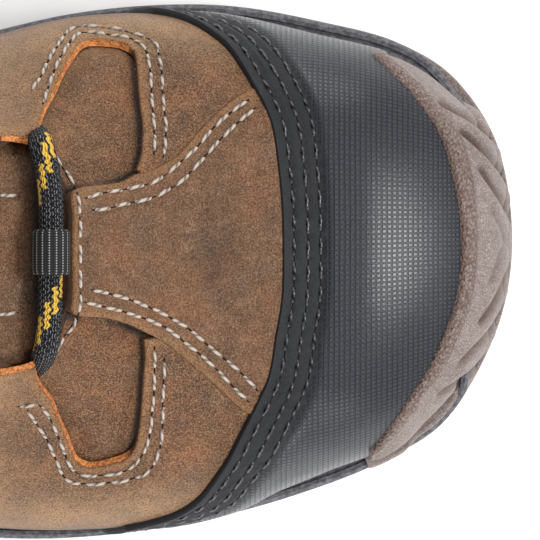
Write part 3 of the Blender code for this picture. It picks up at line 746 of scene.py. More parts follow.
@dataclass(frozen=True)
class CapFinish:
    """Black coated toe cap: smooth sewn band, then small raised squares pressed in rows."""

    name: str = "black_toe_cap"
    low: tuple = tone(31, 33, 38)
    high: tuple = tone(60, 63, 70)
    band: tuple = tone(20, 21, 25)
    pitch: float = 1.17

    def material(self) -> Material:
        """Node tree of the cap.

        Returns:
            The finished material.
        """
        g = Graph(self.name)
        along, across = g.map_axes("sheet")
        drift = (g.noise(90, 2) - 0.5) * 0.35
        ripple = g.wave(along + drift, self.pitch) * 0.5 + 0.5
        weft = g.wave(across + drift, self.pitch) * 0.5 + 0.5
        square = g.smooth(ripple, 0.04, 0.42) * g.smooth(weft, 0.04, 0.42)
        field_mask = g.smooth(g.attribute("field"), 0.05, 0.95)
        grain = g.noise(1700, 3, 0.7)
        dust = g.noise(60, 4, 0.65)
        plain = g.mix(g.smooth(grain, 0.40, 0.66) * 0.55, self.band, self.low)
        # Painted light and shade: the raised squares' tops are coloured lighter and the gaps between them
        # darker
        pressed = g.mix(square * (g.smooth(grain, 0.2, 0.7) * 0.5 + 0.5), self.low, self.high)
        colour = g.mix(field_mask, plain, pressed)
        colour = g.stain(colour, tone(112, 110, 110), 0.10, dust, 0.55, 0.8)
        relief = square * field_mask + grain * (0.30 - field_mask * 0.22)
        rough = 0.64 - field_mask * 0.36 + (dust - 0.5) * 0.14 + (1 - square) * field_mask * 0.15
        return g.finish(Base_Color=colour, Roughness=rough, Normal=g.bump(relief, 0.60),
                        Specular_IOR_Level=0.34, Coat_Weight=field_mask * 0.16, Coat_Roughness=0.36)


@dataclass(frozen=True)
class RubberFinish:
    """Moulded rubber, pebbled where the mesh says so, with a dusty bloom and painted shade in its hollows.
    """

    name: str
    deep: tuple = tone(84, 64, 55)
    wart: tuple = tone(92, 64, 50)
    face: tuple = tone(106, 92, 87)
    bloom: tuple = tone(125, 113, 109)
    pebble: float = 0.40

    def material(self) -> Material:
        """Node tree of the rubber; it reads pebble and the painted shade of its hollows off the mesh.

        Returns:
            The finished material.
        """
        g = Graph(self.name)
        clouds = g.noise(55, 4, 0.6)
        streaks = g.noise(900, 3, 0.65, g.stretched(0.6, 1.0, 0.35))
        pebbles = g.cells(1450)
        micro = g.noise(3000, 2, 0.7)
        rough_patch = g.attribute("pebble")
        hollow = g.smooth(g.attribute("hollow"), 0.05, 0.95)
        colour = g.mix(g.smooth(clouds, 0.3, 0.7), self.face, self.bloom)
        colour = g.stain(colour, self.deep, 0.46, streaks, 0.46, 0.68)
        colour = g.stain(colour, tone(190, 181, 176), 0.46, micro, 0.48, 0.66)
        colour = g.mix(rough_patch * (g.smooth(pebbles, 0.25, 0.70) * 0.62 + 0.14), colour, self.wart)
        # Painted shade in the hollows: along the cap's edge, in the valley behind the roll, at the bottoms
        # of the folds and on the hidden inner face
        colour = g.mix(hollow * 0.9, colour, self.deep)
        height = (1 - pebbles * pebbles) * (rough_patch * 1.5 + 0.03) + micro * 0.30 + streaks * 0.40
        rough = 0.60 - rough_patch * 0.26 + (clouds - 0.5) * 0.2
        return g.finish(Base_Color=colour, Roughness=rough, Normal=g.bump(height, self.pebble),
                        Specular_IOR_Level=0.4)


@dataclass(frozen=True)
class FoamFinish:
    """Dark moulded foam of the midsole, finely speckled."""

    name: str = "dark_midsole_foam"
    deep: tuple = tone(66, 66, 70)
    face: tuple = tone(102, 102, 107)

    def material(self) -> Material:
        """Node tree of the foam.

        Returns:
            The finished material.
        """
        g = Graph(self.name)
        speckle = g.noise(900, 3, 0.65)
        clouds = g.noise(35, 3)
        colour = g.mix(g.smooth(speckle, 0.38, 0.66), self.deep, self.face)
        colour = g.stain(colour, tone(132, 128, 126), 0.3, clouds, 0.55, 0.8)
        return g.finish(Base_Color=colour, Roughness=0.68 + (clouds - 0.5) * 0.2,
                        Normal=g.bump(speckle, 0.14), Specular_IOR_Level=0.35)


@dataclass(frozen=True)
class ThreadFinish:
    """Twisted sewing thread, its strands winding round each stitch, with painted shade between the strands.
    """

    name: str
    strand: tuple
    strand_shade_and_fuzz: tuple
    twist: float = 2.6
    rough: float = 0.45

    def material(self) -> Material:
        """Node tree of the thread.

        Returns:
            The finished material.
        """
        g = Graph(self.name)
        along, around = g.map_axes("thread")
        winding = g.wave(along / self.twist + around, 1.0) * 0.5 + 0.5
        fuzz = g.noise(3200, 2)
        # Painted shade in the grooves between the strands; the same dark colour also flecks the thread at
        # random
        colour = g.mix(g.smooth(winding, 0.02, 0.55), self.strand_shade_and_fuzz, self.strand)
        colour = g.stain(colour, self.strand_shade_and_fuzz, 0.25, fuzz, 0.55, 0.75)
        return g.finish(Base_Color=colour, Roughness=self.rough, Normal=g.bump(winding + fuzz * 0.3, 0.11))


@dataclass(frozen=True)
class LaceFinish:
    """Round braided lace, black with painted glints on its yarns' crowns, painted shade between the yarns,
    and yellow tracers that wind round it in dashes.
    """

    name: str = "black_braided_lace"
    ground: tuple = tone(11, 11, 13)
    fleck: tuple = tone(150, 150, 156)
    mark: tuple = tone(244, 196, 74)
    plait: float = 1.3
    dash: float = 6.6
    turn: float = -31.0
    start: float = 0.92

    def material(self) -> Material:
        """Node tree of the braid; the map runs along the lace and once round it.

        Returns:
            The finished material.
        """
        g = Graph(self.name)
        along, around = g.map_axes("braid")
        left = g.wave(along / self.plait + around * 8, 1.0)
        right = g.wave(along / self.plait - around * 8, 1.0)
        yarn = g.maths("MAXIMUM", left, right) * 0.5 + 0.5
        strand = g.wave(around * 26 + g.wave(along, self.plait) * 0.22, 1.0) * 0.5 + 0.5
        fuzz = g.noise(2100, 2, 0.7)
        # Painted highlight: pale glints on the crowns of the yarns
        glint = g.smooth(strand * 0.55 + fuzz * 0.9, 0.82, 1.04) * g.smooth(yarn, 0.40, 0.8)
        colour = g.mix(glint * 0.75, self.ground, self.fleck)
        # Painted shade between the yarns
        colour = g.stain(colour, tone(8, 8, 10), 0.9, yarn, 0.42, 0.1)
        marks = g.maths("MAXIMUM", self.tracer(g, along, around, 0), self.tracer(g, along, around, 1))
        colour = g.mix(marks * (strand * 0.3 + 0.7), colour, self.mark)
        return g.finish(Base_Color=colour, Roughness=0.78, Normal=g.bump(yarn + strand * 0.4, 0.6),
                        Specular_IOR_Level=0.25)

    def tracer(self, g: Graph, along: Socket, around: Socket, turn: int) -> Socket:
        """Mask of every second dash of the tracer.

        Args:
            g: the node tree.
            along: distance along the lace.
            around: share of the turn round it.
            turn: 0 or 1, for the even or the odd dashes.

        Returns:
            Mask of those dashes.
        """
        beat = along / self.dash + turn * 0.5
        count = g.maths("FLOOR", beat)
        middle = count * (self.dash / self.turn) + (self.start - turn * 0.5 * self.dash / self.turn)
        wobble = g.wave(along, 1.7) * 0.016
        off = g.maths("ABSOLUTE", g.maths("WRAP", around + middle + wobble, 0.5, -0.5))
        gap = g.maths("ABSOLUTE", beat - count - 0.5)
        return g.smooth(off, 0.040, 0.028) * g.smooth(gap, 0.46, 0.41)


@dataclass(frozen=True)
class WebbingFinish:
    """Ribbed black webbing with dotted pale ribs."""

    name: str = "black_webbing"
    ground: tuple = tone(9, 9, 10)
    rib: tuple = tone(168, 166, 166)
    spacing: float = 1.15

    def material(self) -> Material:
        """Node tree of the webbing; the map runs across the ribs and along them.

        Returns:
            The finished material.
        """
        g = Graph(self.name)
        across, along = g.map_axes("webbing")
        rib = g.smooth(g.wave(across, self.spacing), 0.55, 0.98)
        dots = g.smooth(g.wave(along, 0.55), -0.7, 0.2)
        fuzz = g.noise(2600, 2)
        colour = g.mix(rib * dots * (fuzz * 0.7 + 0.45), self.ground, self.rib)
        height = rib * (dots * 0.6 + 0.4) + fuzz * 0.25
        return g.finish(Base_Color=colour, Roughness=0.85, Normal=g.bump(height, 0.3))


@dataclass(frozen=True)
class MetalFinish:
    """Dark plated eyelet metal, rubbed brighter in places."""

    name: str = "dark_eyelet_metal"
    plate: tuple = tone(86, 80, 74)
    rubbed: tuple = tone(150, 142, 132)

    def material(self) -> Material:
        """Node tree of the metal.

        Returns:
            The finished material.
        """
        g = Graph(self.name)
        wear = g.noise(420, 4, 0.65)
        colour = g.mix(g.smooth(wear, 0.5, 0.75), self.plate, self.rubbed)
        return g.finish(Base_Color=colour, Roughness=0.28 + wear * 0.2, Metallic=1.0)


@dataclass(frozen=True)
class FabricFinish:
    """Woven lining or footbed cloth."""

    name: str
    low: tuple = tone(52, 49, 47)
    high: tuple = tone(98, 93, 88)
    thread: float = 0.9

    def material(self) -> Material:
        """Node tree of the cloth, its threads running along the boot and up it.

        Returns:
            The finished material.
        """
        g = Graph(self.name)
        x, y, z = g.axes(g.place())
        warp = g.wave(x, self.thread * MM)
        weft = g.wave(y + z, self.thread * MM)
        weave = warp * weft * 0.5 + 0.5
        fuzz = g.noise(1800, 3)
        colour = g.mix(g.smooth(weave + fuzz - 0.5, 0.15, 0.85), self.low, self.high)
        return g.finish(Base_Color=colour, Roughness=0.92, Normal=g.bump(weave + fuzz * 0.5, 0.2))


@dataclass(frozen=True)
class PlainFinish:
    """Even dark surface with a trace of dust, such as the painted shade in a stitch's bed."""

    name: str
    face: tuple
    dust: tuple
    rough: float = 0.9
    glow: float = 0.0

    def material(self) -> Material:
        """Node tree of the surface.

        Returns:
            The finished material.
        """
        g = Graph(self.name)
        clouds = g.noise(30, 3)
        colour = g.mix(g.smooth(clouds, 0.4, 0.75), self.face, self.dust)
        return g.finish(Base_Color=colour, Roughness=self.rough, Specular_IOR_Level=0.2,
                        Emission_Color=colour, Emission_Strength=self.glow)


class PieceMesh:
    """Points, faces and the values that a finish reads, gathered for one piece."""

    def __init__(self) -> None:
        """Start empty."""
        self.points: list[Array] = []
        self.values: dict[str, list[Array]] = {}
        self.faces: list[tuple[int, ...]] = []
        self.slots: list[int] = []
        self.corners: list[Array] = []
        self.count = 0

    def add_points(self, points: Array, **values: Any) -> Array:
        """Add points in millimetres, with a value or a row of values for each name.

        Args:
            points: rows of x, y and z.
            values: what the finish reads at these points, by attribute name.

        Returns:
            Numbers of the new points.
        """
        points = np.asarray(points, dtype=float).reshape(-1, 3)
        for name in set(self.values) | set(values):
            rows = self.values.setdefault(name, [np.zeros(self.count)])
            given = np.asarray(values.get(name, 0.0), dtype=float)
            rows.append(np.broadcast_to(given.ravel(), len(points)))
        self.points.append(points)
        self.count += len(points)
        return np.arange(self.count - len(points), self.count)

    def add_faces(self, faces: Iterable[Sequence[int]], slot: int = 0,
                  corners: Array | None = None) -> None:
        """Add faces by point numbers, with a finish number and, where mapped, a map place per corner.

        Args:
            faces: point numbers of each face, anticlockwise from outside.
            slot: finish number.
            corners: map places, corner by corner.
        """
        new = [tuple(int(i) for i in face) for face in faces]
        self.faces += new
        self.slots += [slot] * len(new)
        if corners is not None:
            self.corners.append(np.asarray(corners, dtype=float).reshape(-1, 2))

    def add_grid(self, numbers: Array, closed: bool = False, flip: bool = False, slot: int = 0,
                 corners: Array | None = None) -> None:
        """Add the quads of a grid of point numbers.

        Args:
            numbers: point numbers by row and column.
            closed: whether the last column joins the first.
            flip: whether the faces look the other way.
            slot: finish number.
            corners: map places by row and column; a closed grid has one column more.
        """
        after = np.roll(numbers, -1, axis=1) if closed else numbers[:, 1:]
        here = numbers if closed else numbers[:, :-1]
        quads = np.stack((here[:-1], after[:-1], after[1:], here[1:]), axis=-1).reshape(-1, 4)
        mapped = None
        if corners is not None:
            low, high = corners[:, :-1], corners[:, 1:]
            mapped = np.stack((low[:-1], high[:-1], high[1:], low[1:]), axis=2).reshape(-1, 4, 2)
        if flip:
            quads = quads[:, ::-1]
            mapped = None if mapped is None else mapped[:, ::-1]
        self.add_faces(quads, slot, mapped)

    def add_sheet(self, high: Array, low: Array, slot: int = 0, corners: Array | None = None) -> None:
        """Add the two faces of a sheet and the rim that joins them.

        Args:
            high: point numbers of its outer face, by row and column.
            low: those of its back.
            slot: finish number of the back.
            corners: map places by row and column.
        """
        self.add_grid(high, corners=corners)
        self.add_grid(low, flip=True, slot=slot, corners=corners)
        rims = [np.concatenate((s[0, :-1], s[:-1, -1], s[-1, :0:-1], s[:0:-1, 0])) for s in (low, high)]
        edge = None if corners is None else np.zeros((2, len(rims[0]) + 1, 2))
        self.add_grid(np.stack(rims), closed=True, corners=edge)

    def add_tube(self, spine: Array, across: Array, out: Array, sizes: Array, run: Array,
                 sides: int) -> None:
        """Add a round cord with closed ends; its map runs along it and once round.

        Args:
            spine: points of its middle line.
            across: directions to its side there.
            out: directions square to both.
            sizes: its radius at each point.
            run: map distance of each point.
            sides: number of its sides.
        """
        turns = circle(sides)
        offsets = across[:, None] * turns[:, :1] + out[:, None] * turns[:, 1:]
        points = spine[:, None] + offsets * sizes[:, None, None]
        numbers = self.add_points(points).reshape(len(run), sides)
        corners = np.stack(np.meshgrid(run, np.arange(sides + 1) / sides, indexing="ij"), axis=-1)
        self.add_grid(numbers, closed=True, corners=corners)
        for end, turn in ((0, -1), (-1, 1)):
            self.add_faces([numbers[end][::turn]], corners=np.full((sides, 2), (run[end], 0.0)))

    def build(self, name: str, materials: Sequence[Material], sharp: float = 50.0,
              map_name: str = "") -> Piece:
        """Make the object.

        Args:
            name: name of the piece.
            materials: finishes by number.
            sharp: angle in degrees past which an edge stays hard.
            map_name: name of the UV map, where corners were given.

        Returns:
            The piece, at the origin.
        """
        mesh = bpy.data.meshes.new(name)
        mesh.from_pydata((np.concatenate(self.points) * MM).tolist(), [], self.faces)
        for finish in materials:
            mesh.materials.append(finish)
        mesh.polygons.foreach_set("material_index", self.slots)
        for key, rows in self.values.items():
            held = mesh.attributes.new(key, "FLOAT", "POINT")
            held.data.foreach_set("value", np.concatenate(rows))
        if map_name:
            layer = mesh.uv_layers.new(name=map_name)
            layer.data.foreach_set("uv", np.concatenate(self.corners).ravel())
        mesh.shade_smooth()
        mesh.set_sharp_from_angle(angle=math.radians(sharp))
        made = bpy.data.objects.new(name, mesh)
        bpy.context.collection.objects.link(made)
        return made


def settle(piece: Piece, slot: str, *nodes: str) -> Piece:
    """Put a finished piece on the boot's body, in the place of its solids.

    Args:
        piece: the piece, finished.
        slot: name of a material slot; not used.
        nodes: names of the solids that it stands for.

    Returns:
        The same piece.
    """
    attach(piece, BODY)
    if nodes:
        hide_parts(*nodes)
    LOG.info("%s: %d faces", piece.name, len(piece.data.polygons))
    return piece


def inside_border(border: Array, places: Array) -> Array:
    """Whether each place lies inside a closed border, by counting crossings.

    Args:
        border: corners in order.
        places: rows of v and t, or of pixels.

    Returns:
        True for each place inside.
    """
    found = np.zeros(len(places), dtype=bool)
    for (v1, t1), (v2, t2) in zip(border, np.roll(border, -1, axis=0)):
        if t1 == t2:
            continue
        crosses = (t1 > places[:, 1]) != (t2 > places[:, 1])
        where = v1 + (places[:, 1] - t1) * (v2 - v1) / (t2 - t1)
        found ^= crosses & (places[:, 0] < where)
    return found


def near_points(points: Array) -> KDTree:
    """Search tree of points.

    Args:
        points: rows of x, y and z.

    Returns:
        The tree, ready to search.
    """
    tree = KDTree(len(points))
    for number, point in enumerate(points):
        tree.insert(point, number)
    tree.balance()
    return tree


def distances(tree: KDTree | None, points: Array) -> Array:
    """Distance from each point to the nearest in a tree, or very far with no tree.

    Args:
        tree: the points to be near to, if any.
        points: rows of x, y and z.

    Returns:
        A distance for each point.
    """
    if tree is None:
        return np.full(len(points), 1e3)
    return np.array([tree.find(point)[2] for point in points])


Shade = Callable[[Array], Array]
Relief = Callable[[Array, Array], Array]


@dataclass
class Panel:
    """Overlay cut from the last inside a closed border, with rounded edges and drawn-down seams."""

    last: Last
    border: Array
    thickness: float
    seams: list[Array] = field(default_factory=list)
    lift: float = GAP
    spacing: float = 2.3
    step: float = 1.1
    edge_shape: Rows = ((0.0, 0.0), (0.0, 0.66), (0.10, 0.86), (0.34, 0.96), (0.95, 1.0))
    raw: Shade | None = None
    raw_slope: float = 0.60
    fray: Rows = ((0.22, 1.9, 0.0), (0.18, 3.3, 1.0), (0.12, 0.7, 0.0))
    flat: tuple = (300.0, 110.0)
    seam_depth: float = 0.38
    seam_width: float = 1.25
    relief: Relief | None = None
    shade: Shade | None = None

    def __post_init__(self) -> None:
        """Even out the border, run it anticlockwise and gather the seams' points."""
        v, t = self.border[:, 0], self.border[:, 1]
        if np.sum(v * np.roll(t, -1) - np.roll(v, -1) * t) < 0:
            self.border = self.border[::-1]
        self.border = self.last.evenly(self.border, self.step, closed=True)
        lines = [self.last.evenly(seam, 0.8) for seam in self.seams]
        self.seam_places = np.concatenate(lines) if lines else np.zeros((0, 2))
        at = self.last.at(self.seam_places)
        self.seam_tree = near_points(at) if len(at) else None

    def top(self, places: Array) -> Array:
        """Height of the finished face above the last at some places.

        Args:
            places: rows of v and t.

        Returns:
            A height for each place.
        """
        at = self.last.at(places)
        dip = self.seam_depth * np.exp(-((distances(self.seam_tree, at) / self.seam_width) ** 2))
        rise = self.relief(places, at) if self.relief else 0.0
        return self.lift + self.thickness - dip + rise

    def on_top(self, places: Array, above: float) -> Array:
        """Points that stand above the finished face."""
        return self.last.lifted(places, self.top(places) + above)

    def rings(self) -> list[Array]:
        """Border places moved inwards, one ring for each step of the edge's shape.

        Returns:
            Rings of places, the border first.
        """
        at = self.last.at(self.border)
        along = np.roll(at, -1, axis=0) - np.roll(at, 1, axis=0)
        inward = unit(np.cross(self.last.out(self.border), along))
        cut = self.raw_share(self.border) * self.raw_slope
        wave = np.arange(len(self.border)) * self.step
        fray = 1 + sum(size * np.sin(wave * pace + start) for size, pace, start in self.fray)
        rings = [self.border]
        for inset, _ in self.edge_shape[1:]:
            ring = self.last.shifted(self.border, inward * (inset + cut * fray)[:, None])
            rings.append(np.column_stack((ring[:, 0], np.clip(ring[:, 1], 0.0, 1.0))))
        return rings

    def raw_share(self, places: Array) -> Array:
        """How raw the cut edge is at some places, from 0 for sealed to 1."""
        return self.raw(places) if self.raw else np.zeros(len(places))

    def inner_places(self, ring: Array) -> Array:
        """Even places inside a ring, clear of it.

        Args:
            ring: the innermost ring.

        Returns:
            Rows of v and t, those on seams last.
        """
        steps = [self.spacing / np.linalg.norm(way, axis=1).mean() for way in self.last.slopes(*ring.T)]
        low, high = ring.min(axis=0), ring.max(axis=0)
        columns, rows = (np.arange(low[k] + steps[k] / 2, high[k], steps[k]) for k in (0, 1))
        grid = np.stack(np.meshgrid(columns, rows, indexing="ij"), axis=-1).reshape(-1, 2)
        grid = grid[inside_border(ring, grid)]
        at = self.last.at(grid)
        clear = distances(near_points(self.last.at(ring)), at) > 0.7 * self.spacing
        if self.seam_tree is not None:
            clear &= distances(self.seam_tree, at) > 0.5
        tracks = self.seam_places[inside_border(ring, self.seam_places)]
        return np.concatenate((grid[clear], tracks))

    def mesh(self) -> PieceMesh:
        """Closed mesh of the panel: edge strips, then face and back inside them.

        Returns:
            The gathered mesh; finish 0 is the face, finish 1 the cut edge.
        """
        made = PieceMesh()
        rings = self.rings()
        numbers = []
        for ring, (inset, share) in zip(rings, self.edge_shape):
            height = self.lift + (self.top(ring) - self.lift) * share
            numbers.append(self.add(made, ring, height, inset))
        for low, high, slot in zip(numbers, numbers[1:], (1, 0, 0, 0)):
            made.add_grid(np.stack((low, high)), closed=True, slot=slot)
        ring = rings[-1]
        places = np.concatenate((ring, self.inner_places(ring)))
        spots = [Vector(place) for place in places * self.flat]
        corners, _, faces, sources, *_ = delaunay_2d_cdt(spots, [], [list(range(len(ring)))], 1, 1e-6)
        places = np.array(corners) / self.flat
        depth = distances(near_points(self.last.at(self.border)),
                          self.last.at(places))
        firsts = [min(source, default=len(ring)) for source in sources]
        on_ring = {spot: first for spot, first in enumerate(firsts) if first < len(ring)}
        loose = np.array([spot for spot in range(len(places)) if spot not in on_ring])
        face = np.zeros(len(places), dtype=int)
        face[loose] = self.add(made, places[loose], self.top(places[loose]), depth[loose])
        back = self.add(made, places, np.full(len(places), self.lift), 0.0)
        under = numbers[0].copy()
        for spot, place in on_ring.items():
            face[spot] = numbers[-1][place]
            under[place] = back[spot]
        made.add_faces([[face[i] for i in triangle] for triangle in faces])
        made.add_faces([[back[i] for i in triangle[::-1]] for triangle in faces], 1)
        made.add_grid(np.stack((under, numbers[0])), closed=True, slot=1)
        return made

    def add(self, made: PieceMesh, places: Array, height: Array, depth: Any) -> Array:
        """Add points at places and heights, with how pale the hide is over the sides (pull-up and painted
        sheen), how far in they lie, how raw the cut is, and the painted shade and dark cloud.

        Args:
            made: the mesh to add to.
            places: rows of v and t.
            height: heights above the last.
            depth: distances from the panel's edge.

        Returns:
            Numbers of the new points.
        """
        out = self.last.out(places)
        points = self.last.at(places) + out * np.asarray(height)[:, None]
        # Painted shade, and on the vamp the hide's dark cloud
        dark = self.shade(points) if self.shade else 0.0
        raw = self.raw_share(places)
        return made.add_points(points, pull=hide_pull_and_sheen(out), depth=depth, raw=raw, grime=dark)


def hide_pull_and_sheen(out: Array) -> Array:
    """How much the leather is paled over the sides, from its outward direction: partly pull-up where it is
    drawn over the last, partly painted sheen of the side lamps.

    Args:
        out: rows of a direction.

    Returns:
        A share for each direction.
    """
    lean = np.hypot(out[:, 1], np.minimum(out[:, 0], 0.0))
    drawn = 0.12 * ease(lean, 0.20, 0.50) + 0.40 * ease(lean, 0.48, 0.92)
    return drawn * (1.0 - 0.55 * ease(1.0 - out[:, 2], 0.70, 0.98))


def depth_inside(polygon: Array, pixels: Array) -> Array:
    """Distance in pixels from a closed outline to points inside it, and 0 outside.

    Args:
        polygon: corners in order.
        pixels: columns and rows in the 540 frame.

    Returns:
        A distance for each pixel.
    """
    start, end = polygon, np.roll(polygon, -1, axis=0)
    best = np.full(len(pixels), np.inf)
    for a, b in zip(start, end):
        way = b - a
        share = np.clip((pixels - a) @ way / (way @ way), 0, 1)
        best = np.minimum(best, np.linalg.norm(pixels - a - share[:, None] * way, axis=1))
    return np.where(inside_border(polygon, pixels), best, 0.0)


@dataclass
class Stitching:
    """All stitches of one thread, gathered as two meshes: thread, and dark lenses of painted shade where it
    lies and dives in.
    """

    last: Last
    name: str
    thread: ThreadFinish
    pitch: float = 5.35
    length: float = 4.55
    radius: float = 0.40
    ring_shares: Sequence[float] = (0.02, 0.14, 0.5, 0.86, 0.98)
    ring_sizes: Sequence[float] = (0.45, 0.92, 1.0, 0.92, 0.45)
    ring_rises: Sequence[float] = (-0.30, 0.10, 0.26, 0.10, -0.30)
    sides: int = 6
    stray: float = 0.13
    bed_width: float = 0.54
    gap_width: float = 0.24

    def __post_init__(self) -> None:
        """Start the two meshes."""
        self.threads = PieceMesh()
        self.shade_lenses = PieceMesh()

    def sew(self, face: "Panel | UpperShell", row: Array) -> None:
        """Run one row of stitches over a panel or the shell along places."""
        even = self.last.evenly(row, 0.5)
        self.run(face.on_top(even, 0.0), self.last.out(even))

    def run(self, line: Array, outs: Array) -> None:
        """Run stitches along a line of points, given the outward directions there.

        Args:
            line: points of the row, close together.
            outs: unit directions.
        """
        way = run_along(line)
        count = int(way[-1] // self.pitch)
        spare = (way[-1] - count * self.pitch) / 2
        for number in range(count):
            middle = spare + (number + 0.5) * self.pitch
            length = self.length * (1 + 0.06 * math.sin(number * 2.3 + way[-1]))
            span = middle + (np.array(self.ring_shares) - 0.5) * length
            spine, out = (np.stack([np.interp(span, way, rows[:, k]) for k in range(3)], axis=-1)
                          for rows in (line, outs))
            self.stitch(spine, out, span, self.stray * math.sin(number * 1.7 + way[-1] * 3))

    def stitch(self, spine: Array, out: Array, span: Array, stray: float) -> None:
        """One stitch with the painted shade of its pressed bed and of the gap it dives into.

        Args:
            spine: points of the stitch on the leather.
            out: outward directions there.
            span: distances along the row.
            stray: how far its far end lies to one side.
        """
        along = unit(spine[-1] - spine[0])
        across = np.cross(out, along)
        middle = len(spine) // 2
        half = (span[-1] - span[0]) / 2
        # Painted shade: a dark lens under the stitch's bed, and one in each gap where the thread dives in
        self.hollow(spine[middle], along, out[middle], half, self.bed_width)
        gap = (self.pitch - 2 * half) / 2
        for end, sign in ((0, -1), (-1, 1)):
            self.hollow(spine[end] + sign * along * gap * 0.6, along, out[end], gap, self.gap_width)
        spine = spine + out * np.array(self.ring_rises)[:, None]
        spine = spine + across * (stray * np.linspace(-1, 1, len(spine)))[:, None]
        sizes = self.radius * np.array(self.ring_sizes)
        self.threads.add_tube(spine, across, out, sizes, span, self.sides)

    def hollow(self, spot: Array, way: Array, up: Array, half: float, wide: float) -> None:
        """A dark lens of painted shade let into the leather, half long and wide each way.

        Args:
            spot: its middle.
            way: direction of its length.
            up: direction out of the leather.
            half: half its length.
            wide: half its width.
        """
        across = np.cross(up, way)
        rim = spot + circle(self.sides + 2) @ np.stack((half * way, wide * across))
        points = np.concatenate((rim + up * 0.01, [spot + up * 0.05, spot - up * 0.3]))
        numbers = self.shade_lenses.add_points(points)
        ring, high, low = numbers[:-2], numbers[-2], numbers[-1]
        after = np.roll(ring, -1)
        for a, b in zip(ring, after):
            self.shade_lenses.add_faces([(a, b, high), (b, a, low)])

    def build(self, shade_lens_finish: Material) -> None:
        """Make the two pieces and put them on the boot.

        Args:
            shade_lens_finish: material of the dark lenses of painted shade.
        """
        thread = self.threads.build(f"{self.name}_stitches", [self.thread.material()], 180.0, "thread")
        settle(thread, "brown_leather")
        settle(self.shade_lenses.build(f"{self.name}_stitch_beds", [shade_lens_finish], 180.0), "under_leather")


# Lines read off the photo, in pixels of its 540 frame; a tail goes on from its line in v and t
CAP_EDGE: Rows = (
    (148, 6), (166, 8.5), (184, 13.5), (200, 21.5), (214, 31), (228, 43.5), (242, 64), (253, 83),
    (265, 106), (273, 129), (279, 172), (282, 206), (283, 250), (282, 298), (276, 335), (269, 376),
    (258, 402), (249.5, 419), (239, 440), (228, 462), (213, 485), (197, 505), (175, 519), (150, 527),
)
CAP_TAIL_INNER: Rows = ((0.362, 0.004), (0.352, 0.08))
CAP_TAIL_OUTER: Rows = ((-0.328, 0.19), (-0.343, 0.09), (-0.350, 0.004))
BUMPER_EDGE: Rows = (
    (371, 57), (380, 65), (392, 78), (407, 93), (427, 118), (441, 141), (448, 162), (456, 196),
    (460, 230), (460, 261), (455, 300), (442, 335), (427, 367), (407, 397), (380, 439), (369, 451),
)
BUMPER_TAIL_INNER: Rows = ((0.1675, 0.130), (0.1650, 0.185))
BUMPER_TAIL_OUTER: Rows = ((-0.166, 0.110), (-0.172, 0.030))
VAMP_EDGE_INNER: Rows = (
    (74, 192), (80, 187), (100, 184), (123, 181), (137, 173), (150, 171), (165, 163), (179, 154),
    (205, 124), (230, 101), (253, 86),
)
VAMP_EDGE_OUTER: Rows = (
    (251, 416), (239, 408), (201, 373), (168, 345), (144, 332), (129, 325), (112, 320), (96, 318),
    (80, 317), (74, 313),
)
VAMP_THROAT: Rows = ((71, 300), (70, 278), (70, 256), (70, 234), (71, 212))
NOTCH_INNER: Rows = (
    (137, 170), (142, 155), (143, 138), (143, 124), (140, 103), (138, 80), (136, 56), (131, 48),
    (119, 42), (103, 40), (88, 40), (79, 46), (66, 68), (57, 89), (48, 106), (43, 120), (37, 135),
)
NOTCH_OUTER: Rows = (
    (145, 340), (146, 359), (144, 378), (142, 404), (139, 432), (135, 448), (127, 457), (114, 462),
    (99, 466), (87, 466), (77, 459), (71, 442), (61, 419), (54, 401), (45, 390), (40, 379),
)
VAMP_ROWS: Sequence[Rows] = (
    ((78, 201), (102, 193), (120, 190), (144, 185), (160, 179), (177, 165), (196, 148), (214, 127),
     (235, 109), (258, 93)),
    ((84, 210), (106, 209), (124, 204), (149, 199), (166, 191), (182, 181), (199, 163), (216, 144),
     (235, 125), (256, 107), (264, 100)),
    ((88, 289), (115, 295), (136, 302), (158, 311), (178, 322), (194, 333), (212, 349), (232, 365),
     (247, 379), (261, 395)),
    ((82, 302), (105, 307), (124, 312), (148, 320), (166, 328), (183, 341), (203, 357), (219, 372),
     (235, 389), (252, 405)),
)
THROAT_ROW: Rows = ((78, 321), (81, 304), (81, 280), (81, 256), (81, 230), (80, 205), (77, 187))
INNER_ROWS: Sequence[Rows] = (
    ((29, 92), (36, 83), (42, 73), (50, 56), (58, 44), (67, 31), (76, 26), (86, 25), (100, 26),
     (119, 28), (132, 32), (147, 37), (157, 44), (159, 55), (162, 73), (163, 98), (166, 122), (166, 138),
     (165, 148), (163, 161)),
    ((43, 103), (47, 91), (53, 73), (60, 57), (68, 44), (76, 34), (85, 31), (93, 32), (103, 32),
     (114, 35), (123, 35), (132, 38), (141, 43), (146, 50), (149, 62), (151, 78), (152, 101), (154, 123),
     (155, 142), (154, 154)),
)
OUTER_ROWS: Sequence[Rows] = (
    ((26, 409), (37, 425), (46, 439), (54, 456), (60, 470), (66, 480), (75, 484), (94, 485), (114, 483),
     (135, 479), (149, 472), (156, 460), (161, 445), (163, 422), (163, 401), (164, 381), (165, 356)),
    ((18, 408), (26, 407), (35, 405), (43, 409), (51, 421), (59, 439), (66, 457), (73, 471), (84, 476),
     (103, 476), (122, 473), (135, 465), (145, 451), (150, 434), (152, 415), (154, 394), (155, 369),
     (155, 348)),
)
THROAT_LINE: Rows = (
    (36, 120), (41, 130), (47, 145), (55, 161), (62, 175), (67, 187), (69, 200), (69, 256), (69, 306),
    (67, 318), (63, 331), (58, 345), (50, 360), (43, 372), (38, 384),
)
NOTCH_BACK_INNER: Rows = ((30, 150), (55, 161), (69, 195))
NOTCH_BACK_OUTER: Rows = ((30, 352), (58, 345), (69, 312))
